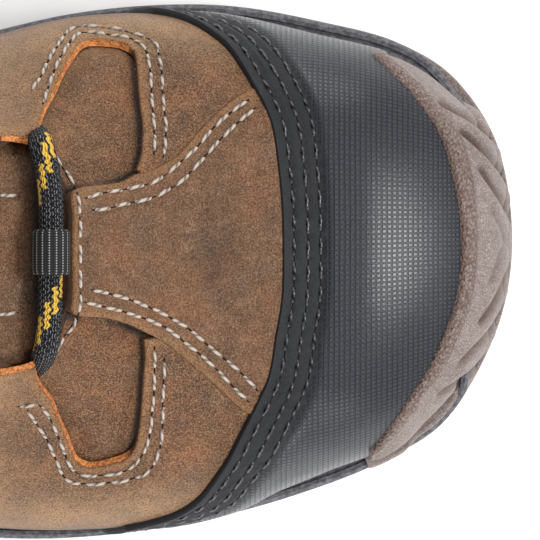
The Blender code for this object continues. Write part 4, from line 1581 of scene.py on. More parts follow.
THROAT_ROWS: Sequence[Rows] = (
    ((49, 142), (56, 154), (64, 166), (71, 177), (80, 193)),
    ((81, 312), (75, 326), (71, 331), (66, 338), (52, 361)),
)


@dataclass
class PanelLevels:
    """How thick each layer of the upper is, and how far it reaches."""

    quarter: float = 1.75
    vamp: float = 2.6
    cap: float = 3.35
    strip: float = 2.6
    underlap: float = 11.0
    cap_lap: float = 2.4
    dome: float = 1.8
    flank: float = 1.4
    foot: float = 0.004
    head: float = 0.985
    strip_front: float = 0.955


class UpperPanels:
    """The sewn leather over the upper: quarters, vamp, back strip and black cap, with their seams."""

    CAP_ROW_DISTANCES = (2.8, 6.1, 9.2)
    CAP_BAND = 10.0
    CAP_FADE = 2.6
    DOME_BACK, DOME_FRONT, DOME_HALF = (106, 124), (122, 143), 40
    FLANK_BACK, FLANK_FRONT, FLANK_TOP = (0.15, 0.20), (0.225, 0.262), (0.22, 0.45)
    NOTCH_REACH = 0.40
    CORNERS = {Side.INNER: ((0.367, 0.985), (0.367, 0.93)), Side.OUTER: ((-0.357, 0.985),)}
    EYESTAY, EYESTAY_ROWS, COLLAR_ROW = (0.41, 0.67), (0.957, 0.80), 0.955
    STRIP_LAP, STRIP_ROWS, STRIP_SPAN = 0.008, (0.010, 0.019), (0.03, 0.96)
    BUMPER_LAP = 1.6
    CAP_SHADE, CAP_SHADE_REACH = 0.65, 2.0
    DRAPE, TOE_SPREAD, TOE_SPREAD_X = 0.55, 0.20, (98, 150)
    # Pixels of the photo: rows between which the vamp meets the cap, where the raw edge ends, the dark cloud
    VAMP_TOP, VAMP_BOTTOM = 84, 416
    VAMP_SHIFT, NOTCH_CLEAR = 3, 4
    RAW_COLUMNS = (136, 122)
    CLOUD, CLOUD_SIZE, CLOUD_DEPTH = (217, 259), (25, 44), 0.50

    def __init__(self, last: Last, levels: PanelLevels) -> None:
        """Place every border and seam on the last.

        Args:
            last: the surface to place them on.
            levels: thicknesses and laps.
        """
        self.last = last
        self.levels = levels
        self.cap_edge = self.cap_line()
        self.bumper_edge = self.bumper_line()
        fine = last.evenly(self.cap_edge, 0.8)
        self.cap_tree = near_points(last.at(fine))
        self.panels: dict[str, Panel] = {}
        pale = ThreadFinish("pale_thread", tone(178, 167, 156), tone(106, 93, 82))
        # The black thread's grey strand colour is partly a painted glint on the strands
        black = ThreadFinish("black_thread", tone(58, 58, 63), tone(10, 10, 12), rough=0.24)
        self.pale = Stitching(last, "pale", pale)
        self.black = Stitching(last, "black", black, pitch=5.2, length=4.3, radius=0.44)

    def seen(self, pixels: Rows, lift: float) -> Array:
        """Smooth line of places through pixels of the photo."""
        return self.last.from_pixels(smooth_route(pixels, 3), lift)

    def cap_line(self) -> Array:
        """Sewn edge of the cap, from its inner foot over the toe to its outer foot."""
        seen = self.seen(CAP_EDGE, GAP + self.levels.cap)
        return np.concatenate((CAP_TAIL_INNER, seen, CAP_TAIL_OUTER))

    def bumper_line(self) -> Array:
        """Top edge of the bumper, from the inner side to the outer side."""
        seen = self.seen(BUMPER_EDGE, GAP + self.levels.cap)
        return np.concatenate((BUMPER_TAIL_INNER, seen, BUMPER_TAIL_OUTER))

    def moved(self, line: Array, distance: float) -> Array:
        """A line moved sideways over the last, to the left of its run for a positive distance."""
        side = np.cross(self.last.out(line), np.gradient(self.last.at(line), axis=0))
        return self.last.shifted(line, unit(side) * distance)

    def cap_border(self) -> Array:
        """The cap from its sewn edge down to the sole, running in behind the bumper.

        Returns:
            Rows of v and t.
        """
        foot = self.moved(self.last.evenly(self.bumper_edge, 2.0), self.BUMPER_LAP)[::-1]
        foot[:, 1] = np.maximum(foot[:, 1], self.levels.foot)
        corners = ((foot[0, 0], self.levels.foot), (foot[-1, 0], self.levels.foot))
        return np.concatenate((corners[:1], foot, corners[1:], self.cap_edge))

    def vamp_border(self) -> Array:
        """The vamp from the throat to its sewn-in front under the cap.

        Returns:
            Rows of v and t.
        """
        front = [(x + self.levels.underlap, y) for x, y in CAP_EDGE if self.VAMP_TOP < y < self.VAMP_BOTTOM]
        lines = (VAMP_EDGE_INNER, front, VAMP_EDGE_OUTER, VAMP_THROAT)
        return np.concatenate([self.seen(line, GAP + self.levels.vamp) for line in lines])

    def quarter_border(self, side: Side) -> Array:
        """A side panel from under the cap and vamp back to the strip, cut away at the notch.

        Args:
            side: side of the foot.

        Returns:
            Rows of v and t.
        """
        levels, sign = self.levels, side.value
        high = GAP + levels.quarter
        notch = NOTCH_INNER if side is Side.INNER else NOTCH_OUTER
        edge = VAMP_EDGE_INNER if side is Side.INNER else VAMP_EDGE_OUTER[::-1]
        under_vamp = [(x + self.VAMP_SHIFT, y + sign * levels.underlap) for x, y in edge
                      if x > notch[0][0] + self.NOTCH_CLEAR]
        hidden = self.moved(self.last.evenly(self.cap_edge, 3.0), levels.cap_lap)
        rows = self.last.pixels(hidden)[:, 1]
        if side is Side.INNER:
            under_cap = hidden[rows < self.VAMP_TOP][::-1]
        else:
            under_cap = hidden[rows > self.VAMP_BOTTOM]
        under_cap[:, 1] = np.maximum(under_cap[:, 1], levels.foot)
        front = np.concatenate((self.seen(under_vamp, high), under_cap))
        back = sign * (levels.strip_front + self.STRIP_LAP)
        rear = [(back, levels.foot), (back, levels.head), *self.CORNERS[side]]
        return np.concatenate((front, rear, self.seen(notch[::-1], high)))

    def raw_edge(self, places: Array) -> Array:
        """The quarters' notch is left raw, but for its front edge; elsewhere the cut is nearly sealed.

        Args:
            places: rows of v and t.

        Returns:
            How raw the cut is at each place, 0 to 1.
        """
        column = self.last.pixels(places)[:, 0]
        front = np.abs(places[:, 0]) < self.NOTCH_REACH
        return np.where(front, ease(column, *self.RAW_COLUMNS) * (column > 0), 0.15)

    def eyestay_rows(self, side: Side) -> list[Array]:
        """Plain rows of stitches that the photo doesn't reach: eyestay and collar.

        Args:
            side: side of the foot.

        Returns:
            Places, for each row of stitches.
        """
        sign = side.value
        s = np.linspace(*self.EYESTAY, 30)
        rows = [np.column_stack((sign * s, np.full(30, t))) for t in self.EYESTAY_ROWS]
        collar = np.linspace(self.EYESTAY[1], self.levels.strip_front - 0.01, 30)
        return rows + [np.column_stack((sign * collar, np.full(30, self.COLLAR_ROW)))]

    def by_cap(self, points: Array) -> Array:
        """Painted shade on the leather along the cap's sewn edge."""
        off = distances(self.cap_tree, points) / self.CAP_SHADE_REACH
        return self.CAP_SHADE * np.exp(-(off**2))

    def vamp_shade(self, points: Array) -> Array:
        """Painted shade by the cap, and the dark cloud in the hide's own tone ahead of the vamp's middle."""
        off = (self.last.camera.project(points) - self.CLOUD) / self.CLOUD_SIZE
        return np.maximum(self.by_cap(points), self.CLOUD_DEPTH * np.exp(-np.sum(off**2, axis=1)))

    def cap_dome(self, places: Array, at: Array) -> Array:
        """Fullness of the hard toe under the cap, above the last.

        Args:
            places: rows of v and t.
            at: their points on the last.

        Returns:
            A height for each place.
        """
        rise = ease(at[:, 0], *self.DOME_BACK) * (1 - ease(at[:, 0], *self.DOME_FRONT))
        off = (at[:, 1] - axis_y(at[:, 0])) / self.DOME_HALF
        outer = -places[:, 0]
        flank = ease(outer, *self.FLANK_BACK) * (1 - ease(outer, *self.FLANK_FRONT))
        flank = flank * (1 - ease(places[:, 1], *self.FLANK_TOP))
        return self.levels.dome * rise * np.clip(1 - off**2, 0, 1) - self.levels.flank * flank

    def make(self) -> None:
        """Settle the panels' shapes and seams."""
        levels, last = self.levels, self.last
        for side, pixel_rows, name in ((Side.INNER, INNER_ROWS, "quarter_inner"),
                                       (Side.OUTER, OUTER_ROWS, "quarter_outer")):
            rows = [self.seen(row, GAP + levels.quarter) for row in pixel_rows] + self.eyestay_rows(side)
            self.panels[name] = Panel(last, self.quarter_border(side), levels.quarter, rows,
                                      raw=self.raw_edge, shade=self.by_cap)
        rows = [self.seen(row, GAP + levels.vamp) for row in (*VAMP_ROWS, THROAT_ROW)]
        self.panels["vamp_panel"] = Panel(last, self.vamp_border(), levels.vamp, rows, spacing=1.8,
                                          shade=self.vamp_shade)
        edge = last.evenly(self.cap_edge, 1.5)
        rows = [self.moved(edge, distance)[3:-3] for distance in self.CAP_ROW_DISTANCES]
        self.panels["toe_cap"] = Panel(last, self.cap_border(), levels.cap, rows, spacing=1.5,
                                       seam_depth=0.95, seam_width=1.4, relief=self.cap_dome)
        front, foot, head = levels.strip_front, levels.foot, levels.head
        border = np.array([(front, foot), (2 - front, foot), (2 - front, head), (front, head)])
        t = np.linspace(*self.STRIP_SPAN, 20)
        rows = [np.column_stack((np.full(20, front + lap), t)) for lap in self.STRIP_ROWS]
        rows += [np.column_stack((2 - row[:, 0], row[:, 1])) for row in rows]
        self.panels["back_strip"] = Panel(last, border, levels.strip, rows)

    def build(self, leather: LeatherFinish, vamp: LeatherFinish, cap: CapFinish, edge: RawEdgeFinish,
              shell: "UpperShell") -> None:
        """Make the panels and sew them, and sew the shell's own edge at the throat.

        Args:
            leather: finish of the quarters and back strip.
            vamp: finish of the vamp.
            cap: finish of the cap.
            edge: finish of the cut edges.
            shell: the upper under the panels.
        """
        hide, calm, raw, black = leather.material(), vamp.material(), edge.material(), cap.material()
        # Dark lenses of painted shade under the stitches and in their gaps
        shade_lens = PlainFinish("stitch_bed", tone(24, 17, 13), tone(40, 28, 21)).material()
        for name, panel in self.panels.items():
            mesh = panel.mesh()
            if name == "toe_cap":
                self.dress_cap(mesh)
                settle(mesh.build(name, [black, black], 45.0, "sheet"), "cap_leather", name)
            else:
                face = calm if name == "vamp_panel" else hide
                settle(mesh.build(name, [face, raw], 45.0), "brown_leather", name)
            thread = self.black if name == "toe_cap" else self.pale
            for seam in panel.seams:
                thread.sew(panel, seam)
        for row in THROAT_ROWS:
            self.pale.sew(shell, self.seen(row, 0.5))
        self.pale.build(shade_lens)
        self.black.build(shade_lens)

    def dress_cap(self, mesh: PieceMesh) -> None:
        """Give the cap's mesh its pressed field and the flat map that the rows of squares follow.

        Args:
            mesh: the cap's mesh.
        """
        points = np.concatenate(mesh.points)
        away = distances(self.cap_tree, points)
        mesh.values["field"] = [np.clip((away - self.CAP_BAND) / self.CAP_FADE, 0, 1)]
        t = np.linspace(0.999, 0.0, 120)
        spine = self.last.surface(np.zeros(120), t)
        run = run_along(spine)
        crest = np.interp(points[:, 0], spine[:, 0], spine[:, 2])
        off = points[:, 1] - axis_y(points[:, 0])
        fall = np.clip(crest + self.levels.cap - points[:, 2], 0.0, None)
        spread_out = 1 + self.TOE_SPREAD * ease(points[:, 0], *self.TOE_SPREAD_X)
        drawn = (off + np.sign(off) * self.DRAPE * fall) * spread_out
        flat = np.column_stack((np.interp(points[:, 0], spine[:, 0], run), drawn))
        mesh.corners = [flat[[i for face in mesh.faces for i in face]]]


# Folds of the bumper, in pixels of the photo, each with the height of its crest in millimetres
BUMPER_FOLDS: Sequence[tuple[float, Rows]] = (
    (1.6, ((433, 95), (440, 104), (451, 111), (466, 119), (481, 130), (492, 140), (500, 148))),
    (1.7, ((455, 124), (461, 133), (471, 142), (484, 154), (496, 168), (505, 181), (511, 194))),
    (1.2, ((474, 163), (482, 175), (491, 188), (500, 202), (511, 222))),
    (0.5, ((485, 203), (493, 216), (500, 230), (506, 246))),
    (0.5, ((483, 291), (491, 275), (497, 256), (502, 240))),
    (1.0, ((473, 329), (482, 317), (492, 302), (501, 284), (509, 264))),
    (1.7, ((453, 371), (462, 359), (474, 346), (486, 333), (497, 317), (507, 297))),
    (1.6, ((430, 402), (443, 390), (458, 380), (472, 369), (486, 353), (497, 335))),
)


def ring_columns(each_side: int) -> Array:
    """Places all round the boot, closer together at the toe and heel.

    Args:
        each_side: number of steps on each side.

    Returns:
        Places v, from the outer side of the heel round to its back.
    """
    f = np.linspace(0.0, 1.0, each_side + 1)
    side = f - 0.34 * np.sin(2 * math.pi * f) / (2 * math.pi)
    return np.concatenate((-side[-2:0:-1], side))


@dataclass
class SoleUnit:
    """Tread, midsole and footbed, stacked from rings round the outline."""

    last: Last
    columns: int = 120
    arch: Rows = ((-57.0, -2.0), (-53.0, 9.0), (-30.0, 10.0), (-5.0, 8.0), (10.0, 3.5), (19.0, -2.0))
    groove_width: float = 6.0
    groove_depth: float = 4.5
    groove_turn: float = math.radians(13)
    groove_reach: float = 85.0
    groove_start: float = -3.0
    lug_spans: Sequence[tuple[int, int]] = ((-138, -64), (31, 150))
    lug_pitch: int = 17
    rib_half: float = 7.0
    toe_setback: float = 5.4
    setback_inner: Rows = ((0.66, 0.06, 0.085), (0.34, 0.085, 0.15))
    setback_outer: Rows = ((0.5, 0.058, 0.076), (0.54, 0.070, 0.088))
    insole_clear: float = 1.0
    insole_steps: Rows = ((0.0, 0.6), (0.6, 0.0), (3.3, 0.0), (4.0, 0.7), (3.6, 6.0))
    outsole_steps: Rows = (
        (0.0, 3.0), (0.05, 1.7), (0.14, 0.6), (0.22, 0.1), (0.40, 0.0), (0.44, 0.3), (0.46, 1.4),
        (0.58, 1.4), (0.60, 0.3), (0.64, 0.0), (0.90, 0.0), (0.97, 0.25), (1.0, 0.8),
    )
    midsole_steps: Rows = (
        (0.0, 1.0), (0.06, 0.45), (0.38, 0.35), (0.42, 0.65), (0.45, 1.3), (0.58, 1.3), (0.61, 0.65),
        (0.65, 0.35), (0.88, 0.35), (0.95, 0.55), (1.0, 1.2), (1.0, 2.1), (0.95, 2.3), (0.95, 2.6),
        (1.0, 2.8), (1.0, 6.0),
    )

    def slab(self, name: str, levels: Sequence[Array], materials: Sequence[Material],
             **values: float) -> Piece:
        """Closed solid from rings one above the other, capped across the foot.

        Args:
            name: name of the piece.
            levels: rings from the lowest up.
            materials: finishes by number.
            values: what the finish reads all over, by name.

        Returns:
            The piece.
        """
        made = PieceMesh()
        numbers = np.stack([made.add_points(level, **values) for level in levels])
        made.add_grid(numbers, closed=True)
        toe, count = self.columns - 1, len(levels[0])
        for step in range(self.columns):
            corners = [toe - step, toe + step, (toe + step + 1) % count, (toe - step - 1) % count]
            corners = [corner for i, corner in enumerate(corners) if corner not in corners[:i]]
            made.add_faces([[numbers[0][i] for i in reversed(corners)], [numbers[-1][i] for i in corners]])
        return made.build(name, materials, 35.0)

    def rings(self, steps: Rows, low: Callable, high: Callable, setback: Array) -> list[Array]:
        """Rings of a layer: its side steps in and out between two heights.

        Args:
            steps: rows of a share of the height and an inset.
            low: height of the bottom by x.
            high: height of the top by x.
            setback: further inset, by column.

        Returns:
            Rings from the lowest up.
        """
        v = ring_columns(self.columns)
        rings = []
        for share, inset in steps:
            plan, _ = self.last.outline(v, inset + setback)
            bottom, top = low(plan[:, 0]), high(plan[:, 0])
            rings.append(np.column_stack((plan, bottom + share * (top - bottom))))
        return rings

    def setback(self, v: Array) -> Array:
        """How far the midsole stands back at the toe, behind the bumper.

        Args:
            v: places round the boot.

        Returns:
            An inset for each place.
        """
        s = np.abs(v)
        inner, outer = (sum(share * ease(s, start, end) for share, start, end in rows)
                        for rows in (self.setback_inner, self.setback_outer))
        return self.toe_setback * (1.0 - np.where(v > 0, inner, outer))

    def grooves(self) -> PieceMesh:
        """Slanted bars that cut the tread into lugs.

        Returns:
            The bars, to cut with.
        """
        made = PieceMesh()
        for x in [x for span in self.lug_spans for x in range(*span, self.lug_pitch)]:
            low, high = ground_height(x) + self.groove_start, ground_height(x) + self.groove_depth
            for side in (1, -1):
                along = np.array((-math.sin(self.groove_turn), side * math.cos(self.groove_turn)))
                across = np.array((along[1], -along[0])) * self.groove_width / 2 * side
                root = np.array((x, axis_y(x) + side * self.rib_half))
                end = root + along * self.groove_reach
                plan = [root - across, root + across, end + across, end - across]
                self.add_bar(made, plan[::side], low, high)
        return made

    @staticmethod
    def add_bar(made: PieceMesh, plan: Sequence[Array], low: float, high: float) -> None:
        """Add a block standing on a plan between two heights.

        Args:
            made: the mesh to add to.
            plan: corners of the plan.
            low: height of the bottom.
            high: height of the top.
        """
        numbers = np.stack([made.add_points([(*corner, z) for corner in plan]) for z in (low, high)])
        made.add_grid(numbers, closed=True)
        made.add_faces([numbers[0][::-1], numbers[1]])

    def arch_prism(self) -> PieceMesh:
        """Side-view hollow under the waist, drawn out across the boot.

        Returns:
            The hollow, to cut with.
        """
        made = PieceMesh()
        sides = (self.groove_reach, -self.groove_reach)
        rows = np.stack([made.add_points([(x, y, z) for x, z in self.arch]) for y in sides])
        made.add_grid(rows, closed=True, flip=True)
        made.add_faces([rows[0], rows[1][::-1]])
        return made

    @staticmethod
    def cut(piece: Piece, tool: PieceMesh, name: str) -> None:
        """Cut a form away from a piece for good.

        Args:
            piece: what is cut.
            tool: the form, closed.
            name: name of the step.
        """
        cutter = tool.build(name, [])
        step = piece.modifiers.new(name, "BOOLEAN")
        step.operation = "DIFFERENCE"
        step.solver = "EXACT"
        step.object = cutter
        bpy.ops.object.select_all(action="DESELECT")
        bpy.context.view_layer.objects.active = piece
        piece.select_set(True)
        bpy.ops.object.modifier_apply(modifier=name)
        bpy.data.objects.remove(cutter)

    def build(self, tread: RubberFinish, foam: FoamFinish, cloth: FabricFinish) -> None:
        """Make the three layers.

        Args:
            tread: finish of the outsole.
            foam: finish of the midsole.
            cloth: finish of the footbed.
        """
        v = ring_columns(self.columns)
        layers = self.rings(self.outsole_steps, ground_height, lambda x: parting_height(x) - GAP, 0.0 * v)
        outsole = self.slab("outsole", layers, [tread.material()], pebble=0.25)
        self.cut(outsole, self.arch_prism(), "arch")
        self.cut(outsole, self.grooves(), "lugs")
        settle(outsole, "tread_rubber", "outsole")
        layers = self.rings(self.midsole_steps, parting_height, seat_height, self.setback(v))
        settle(self.slab("midsole", layers, [foam.material()]), "midsole_foam", "midsole")
        inset = self.last.rib.at(v)[:, 0] + WALL + self.insole_clear
        bed = []
        for rise, more in self.insole_steps:
            plan, _ = self.last.outline(v, inset + more)
            bed.append(np.column_stack((plan, seat_height(plan[:, 0]) + GAP + rise)))
        settle(self.slab("insole", bed, [cloth.material()]), "footbed", "insole")


@dataclass
class UpperShell:
    """The hollow upper under the panels: padded in the notches, with a rolled topline and a cloth lining."""

    last: Last
    columns: Sequence[tuple[float, int]] = ((0.0, 34), (0.19, 100), (0.43, 64), (1.0, 0))
    rows: int = 90
    lining_rows: int = 24
    swell: float = 1.5
    swell_reach: float = 24.0
    painted_shade_reach: float = 7.0
    sink: float = -0.3
    # Pixels of the painted shade: columns over which the notch-edge shade grows toward the toe, then rows
    # and columns of the painted shadow in the gap behind the vamp
    front_columns: tuple = (92, 128)
    gap_top: tuple = (176, 192)
    gap_bottom: tuple = (332, 316)
    gap_front: tuple = (84, 78)
    gap_dark: float = 0.8

    def __post_init__(self) -> None:
        """Place the throat's edge and the two notches."""
        line = self.last.from_pixels(smooth_route(THROAT_LINE, 3))
        line = line[np.argsort(line[:, 0])]
        self.throat = np.concatenate((((-0.40, 1.0),), line, ((0.40, 1.0),)))
        inner = (*NOTCH_INNER, *NOTCH_BACK_INNER, *VAMP_EDGE_INNER[:5])
        outer = (*NOTCH_OUTER, *NOTCH_BACK_OUTER, *VAMP_EDGE_OUTER[:3:-1])
        self.notches = [np.array(notch, dtype=float) for notch in (inner, outer)]

    def head(self, v: Array) -> Array:
        """How far up the shell reaches at v: squared off at the throat, to the topline elsewhere."""
        return np.interp(v, self.throat[:, 0], self.throat[:, 1])

    def notch_depth(self, places: Array) -> tuple[Array, Array]:
        """Pixels of places, and how far inside a notch they lie.

        Args:
            places: rows of v and t.

        Returns:
            Columns and rows, and a distance in pixels for each.
        """
        pixels = self.last.pixels(places)
        front = np.abs(places[:, 0]) < 0.45
        inside = np.maximum(*(depth_inside(notch, pixels) for notch in self.notches))
        return pixels, np.where(front, inside, 0.0)

    def relief(self, places: Array) -> Array:
        """Padding in the notches, sinking at their front edge."""
        _, inside = self.notch_depth(places)
        return self.swell * ease(inside, 1.0, self.swell_reach) + self.sink * (inside > 0)

    def on_top(self, places: Array, above: float) -> Array:
        """Points that stand above the shell's face."""
        return self.last.lifted(places, self.relief(places) + above)

    def grime(self, places: Array) -> Array:
        """Painted shade along the front edges of the notches, and painted shadow in the gap behind the vamp.

        Args:
            places: rows of v and t.

        Returns:
            A darkness for each place, 0 to 1.
        """
        pixels, inside = self.notch_depth(places)
        x, y = pixels.T
        notch = (inside > 0) * np.exp(-((inside / self.painted_shade_reach) ** 2))
        gap = ease(y, *self.gap_top) * ease(y, *self.gap_bottom) * ease(x, *self.gap_front)
        return np.maximum(notch * (0.25 + 0.75 * ease(x, *self.front_columns)), self.gap_dark * gap)

    def build(self, leather: LeatherFinish, lining: FabricFinish, edge: RawEdgeFinish) -> None:
        """Make the shell.

        Args:
            leather: finish of the outside.
            lining: finish of the inside.
            edge: finish of the topline.
        """
        stretches = [np.linspace(start, end, count, endpoint=False)
                     for (start, count), (end, _) in zip(self.columns, self.columns[1:])]
        side = np.concatenate((*stretches, [1.0]))
        v = np.concatenate((-side[-2:0:-1], side))
        made = PieceMesh()
        face = []
        for share in np.linspace(0.0, 1.0, self.rows):
            places = np.column_stack((v, self.head(v) * share))
            # Paling over the sides, partly painted sheen
            pull = hide_pull_and_sheen(self.last.out(places))
            # Painted shade at the notches' front edges and painted shadow in the gap behind the vamp
            dark = self.grime(places)
            face.append(made.add_points(self.on_top(places, 0.0), pull=pull, depth=9.0, grime=dark))
        back = [made.add_points(self.last.raised(v, self.head(v) * share, -WALL))
                for share in np.linspace(0.0, 1.0, self.lining_rows)]
        high = self.on_top(places, 0.0)
        rim_out = self.last.out(places)
        rise = unit(np.cross(rim_out, np.gradient(high, axis=0)))
        rim = [made.add_points(high - rim_out * WALL * f + rise * 0.9 * math.sin(math.pi * f), raw=0.08)
               for f in (0.2, 0.5, 0.8)]
        made.add_grid(np.stack(face), closed=True)
        made.add_grid(np.stack(back), closed=True, flip=True, slot=1)
        made.add_grid(np.stack((face[-1], *rim, back[-1])), closed=True, slot=2)
        made.add_grid(np.stack((back[0], face[0])), closed=True, slot=1)
        piece = made.build("upper", [leather.material(), lining.material(), edge.material()], 60.0)
        settle(piece, "under_leather", "upper")


@dataclass
class ToeBumper:
    """Moulded rubber over the toe: a pebbled roll along the cap, then ridges that sweep to the tip."""

    last: Last
    edge: Array
    columns: int = 420
    rows: int = 72
    roll: tuple = (5.0, 3.9)
    roll_height: float = 1.5
    body: float = 2.2
    base: float = 3.45
    outer_bulge: float = 1.7
    roll_span: tuple = (-0.01, 0.05)
    body_fade: tuple = (0.05, 0.11)
    bulge_span: tuple = (0.115, 0.15)
    ledge_taper: tuple = (2.4, 0.5)
    foot_inset: float = 0.1
    back_inset: float = 6.2
    inner_lift: float = 0.8
    skirt_bend: tuple = (-2.0, 3.5)
    skirt_length: float = 10.0
    fold_bottom: float = 2.6
    fold_steep: float = 2.2
    fold_gentle: tuple = (4.5, 3.0)
    # Reach of the painted shade at a fold's bottom, inside and outside, in pixels
    fold_shade_reach: tuple = (3.0, 3.4)
    fold_reach: float = 10.0
    middle_row: float = 250.0
    end: float = 0.014
    wedge_inner: tuple = (3.3, 0.072, 0.100)
    wedge_outer: tuple = (0.95, 0.076, 0.096)
    overhang: tuple = (1.5, 0.128, 0.150)
    lower_border: Rows = (
        (0.0, 0.006), (0.118, 0.006), (0.131, 0.027), (0.144, 0.080), (0.158, 0.118), (0.168, 0.128),
    )

    def roll_at(self, v: Array | float) -> Array:
        """Width of the roll at v, from the inner side's to the outer side's."""
        inner, outer = self.roll
        return outer + (inner - outer) * ease(v, *self.roll_span)

    def outer_offset(self, away: Array, share: float, v: float) -> Array:
        """Height over the last at a distance down from the top edge at v; share tapers the ends.

        Args:
            away: distances from the top edge.
            share: fullness, 0 to 1.
            v: place round the boot.

        Returns:
            Heights, one for each distance.
        """
        roll = self.roll_at(v)
        bead = np.sqrt(np.clip(1 - (2 * away / roll - 1) ** 2, 0, 1)) * self.roll_height
        full = self.body * (1 - ease(abs(v), *self.body_fade))
        full += self.outer_bulge * ease(-v, *self.bulge_span)
        return self.base + (bead + full * ease(away, roll * 0.85, roll + 4.5)) * share

    def folds(self, pixels: Array) -> tuple[Array, Array]:
        """Folds at pixels of the photo: a steep flank under each crest, a gentle one outside it.

        Args:
            pixels: columns and rows in the 540 frame.

        Returns:
            Depth in millimetres, and the painted shade at the bottom of a fold there.
        """
        total, dark = np.zeros(len(pixels)), np.zeros(len(pixels))
        for depth, line in BUMPER_FOLDS:
            route = smooth_route(line, 8)
            off = pixels[:, None, :] - route[None]
            nearest = np.argmin(np.sum(off**2, axis=2), axis=1)
            along = unit(np.gradient(route, axis=0)[nearest])
            gap = off[np.arange(len(pixels)), nearest]
            inwards = 1 if route[:, 1].mean() < self.middle_row else -1
            side = inwards * (along[:, 0] * gap[:, 1] - along[:, 1] * gap[:, 0]) + self.fold_bottom
            beyond = np.abs(np.sum(along * gap, axis=1))
            progress = nearest / (len(route) - 1)
            narrow, wide = self.fold_gentle
            steep = 1 - ease(side, 0.0, self.fold_bottom + self.fold_steep)
            gentle = (1 - ease(-side / (narrow + wide * progress), 0.0, 1.0)) ** 1.6
            crest = 0.25 * np.exp(-((side - self.fold_bottom - 4.0) / 4.0) ** 2)
            ends = ease(progress, 0.0, 0.25) * (1 - 0.45 * ease(progress, 0.7, 1.0))
            fade = ends * np.exp(-((beyond / self.fold_reach) ** 2))
            total += depth * (np.where(side > 0, steep, gentle) - crest) * fade
            dark += np.exp(-((side / np.where(side > 0, *self.fold_shade_reach)) ** 2)) * fade * min(depth, 1.0)
        return total, np.clip(dark, 0, 1)

    def section(self, v: float, top: float, share: float) -> tuple[Array, Array, Array]:
        """One slice of the bumper.

        Args:
            v: its place round the boot.
            top: t of the top edge there.
            share: how full it is, which tapers the ends.

        Returns:
            Its inner side, its outer side without folds, and how far down that each point lies.
        """
        low_t = float(np.interp(v, *zip(*self.lower_border)))
        t = np.linspace(top, low_t, self.rows)
        at = self.last.surface(v, t)
        away = run_along(at)
        outer = self.last.raised(v, t, self.outer_offset(away, share, v))
        ledge, start, end = self.wedge_inner if v > 0 else self.wedge_outer
        wedge = float(ease(abs(v), start, end))
        ledge += self.ledge_taper[0 if v > 0 else 1] * (1 - share)
        ledge -= self.overhang[0] * float(ease(-v, *self.overhang[1:]))
        front = self.last.outline(v, self.foot_inset + wedge * ledge)[0]
        back = self.last.outline(v, self.back_inset)[0]
        low, seat = parting_height(front[0]) + GAP, seat_height(front[0])
        rim = np.array((*front, low + (seat + 0.1 - low) * wedge))
        drop = np.linspace(0.0, 1.0, 15)[1:, None]
        bend = np.array((*front, seat + self.skirt_bend[0] + self.skirt_bend[1] * wedge))
        skirt = outer[-1] * (1 - drop) ** 2 + bend * 2 * drop * (1 - drop) + rim * drop**2
        inner = self.last.raised(v, np.linspace(low_t, top, 4), self.inner_lift)
        behind = np.array([(*back, rim[2]), (*back, seat_height(back[0]) + GAP)])
        down = np.concatenate((away, away[-1] + drop[:, 0] * self.skirt_length))
        return np.concatenate((behind, inner)), np.concatenate((outer, skirt)), down

    def build(self, finish: RubberFinish) -> None:
        """Make the bumper.

        Args:
            finish: finish of the rubber.
        """
        edge = self.edge[np.argsort(self.edge[:, 0])]
        v = np.linspace(edge[0, 0], edge[-1, 0], self.columns)
        tops = np.interp(v, edge[:, 0], edge[:, 1])
        near = np.clip(np.minimum(v - v[0], v[-1] - v) / self.end, 0, 1)
        shares = np.sqrt(1 - (1 - near) ** 2)
        slices = [self.section(*values) for values in zip(v, tops, shares)]
        inner, outer, down = (np.stack(rows) for rows in zip(*slices))
        out = unit(np.cross(np.gradient(outer, axis=1), np.gradient(outer, axis=0)))
        depth, dark = (part.reshape(outer.shape[:2])
                       for part in self.folds(self.last.camera.project(outer.reshape(-1, 3))))
        roll = self.roll_at(v)[:, None]
        fade = ease(down, roll * 0.7, roll * 1.3) * shares[:, None]
        depth, dark = depth * fade, dark * fade
        outer = outer - out * depth[..., None]
        made = PieceMesh()
        pebble = 1 - ease(down, roll * 0.85, roll * 1.12)
        # Painted shade: a dark line along the cap's edge, the valley behind the roll and the bottoms of the
        # folds
        valley = 0.40 * np.exp(-(((down - roll * 1.04) / 0.45) ** 2))
        hollow = np.clip(np.exp(-((down / 0.7) ** 2)) + valley + dark, 0, 1)
        faces = made.add_points(outer, pebble=pebble, hollow=hollow).reshape(outer.shape[:2])
        backs = made.add_points(inner, pebble=0.0, hollow=1.0).reshape(inner.shape[:2])
        loop = np.concatenate((faces, backs), axis=1)
        made.add_grid(loop, closed=True, flip=True)
        made.add_faces([loop[0][::-1], loop[-1]])
        piece = made.build("toe_bumper", [finish.material()], 70.0)
        recalculated(piece)
        settle(piece, "bumper_rubber", "toe_bumper")


def recalculated(piece: Piece) -> None:
    """Turn the faces of a closed mesh outwards.

    Args:
        piece: the piece to turn.
    """
    shape = bmesh.new()
    shape.from_mesh(piece.data)
    bmesh.ops.recalc_face_normals(shape, faces=shape.faces)
    shape.to_mesh(piece.data)
    shape.free()


def spread(rows: Array, each: int) -> Array:
    """Grid of points made finer both ways by smooth curves."""
    down = np.stack([smooth_route(column, each) for column in np.swapaxes(rows, 0, 1)], axis=1)
    return np.stack([smooth_route(row, each) for row in down])


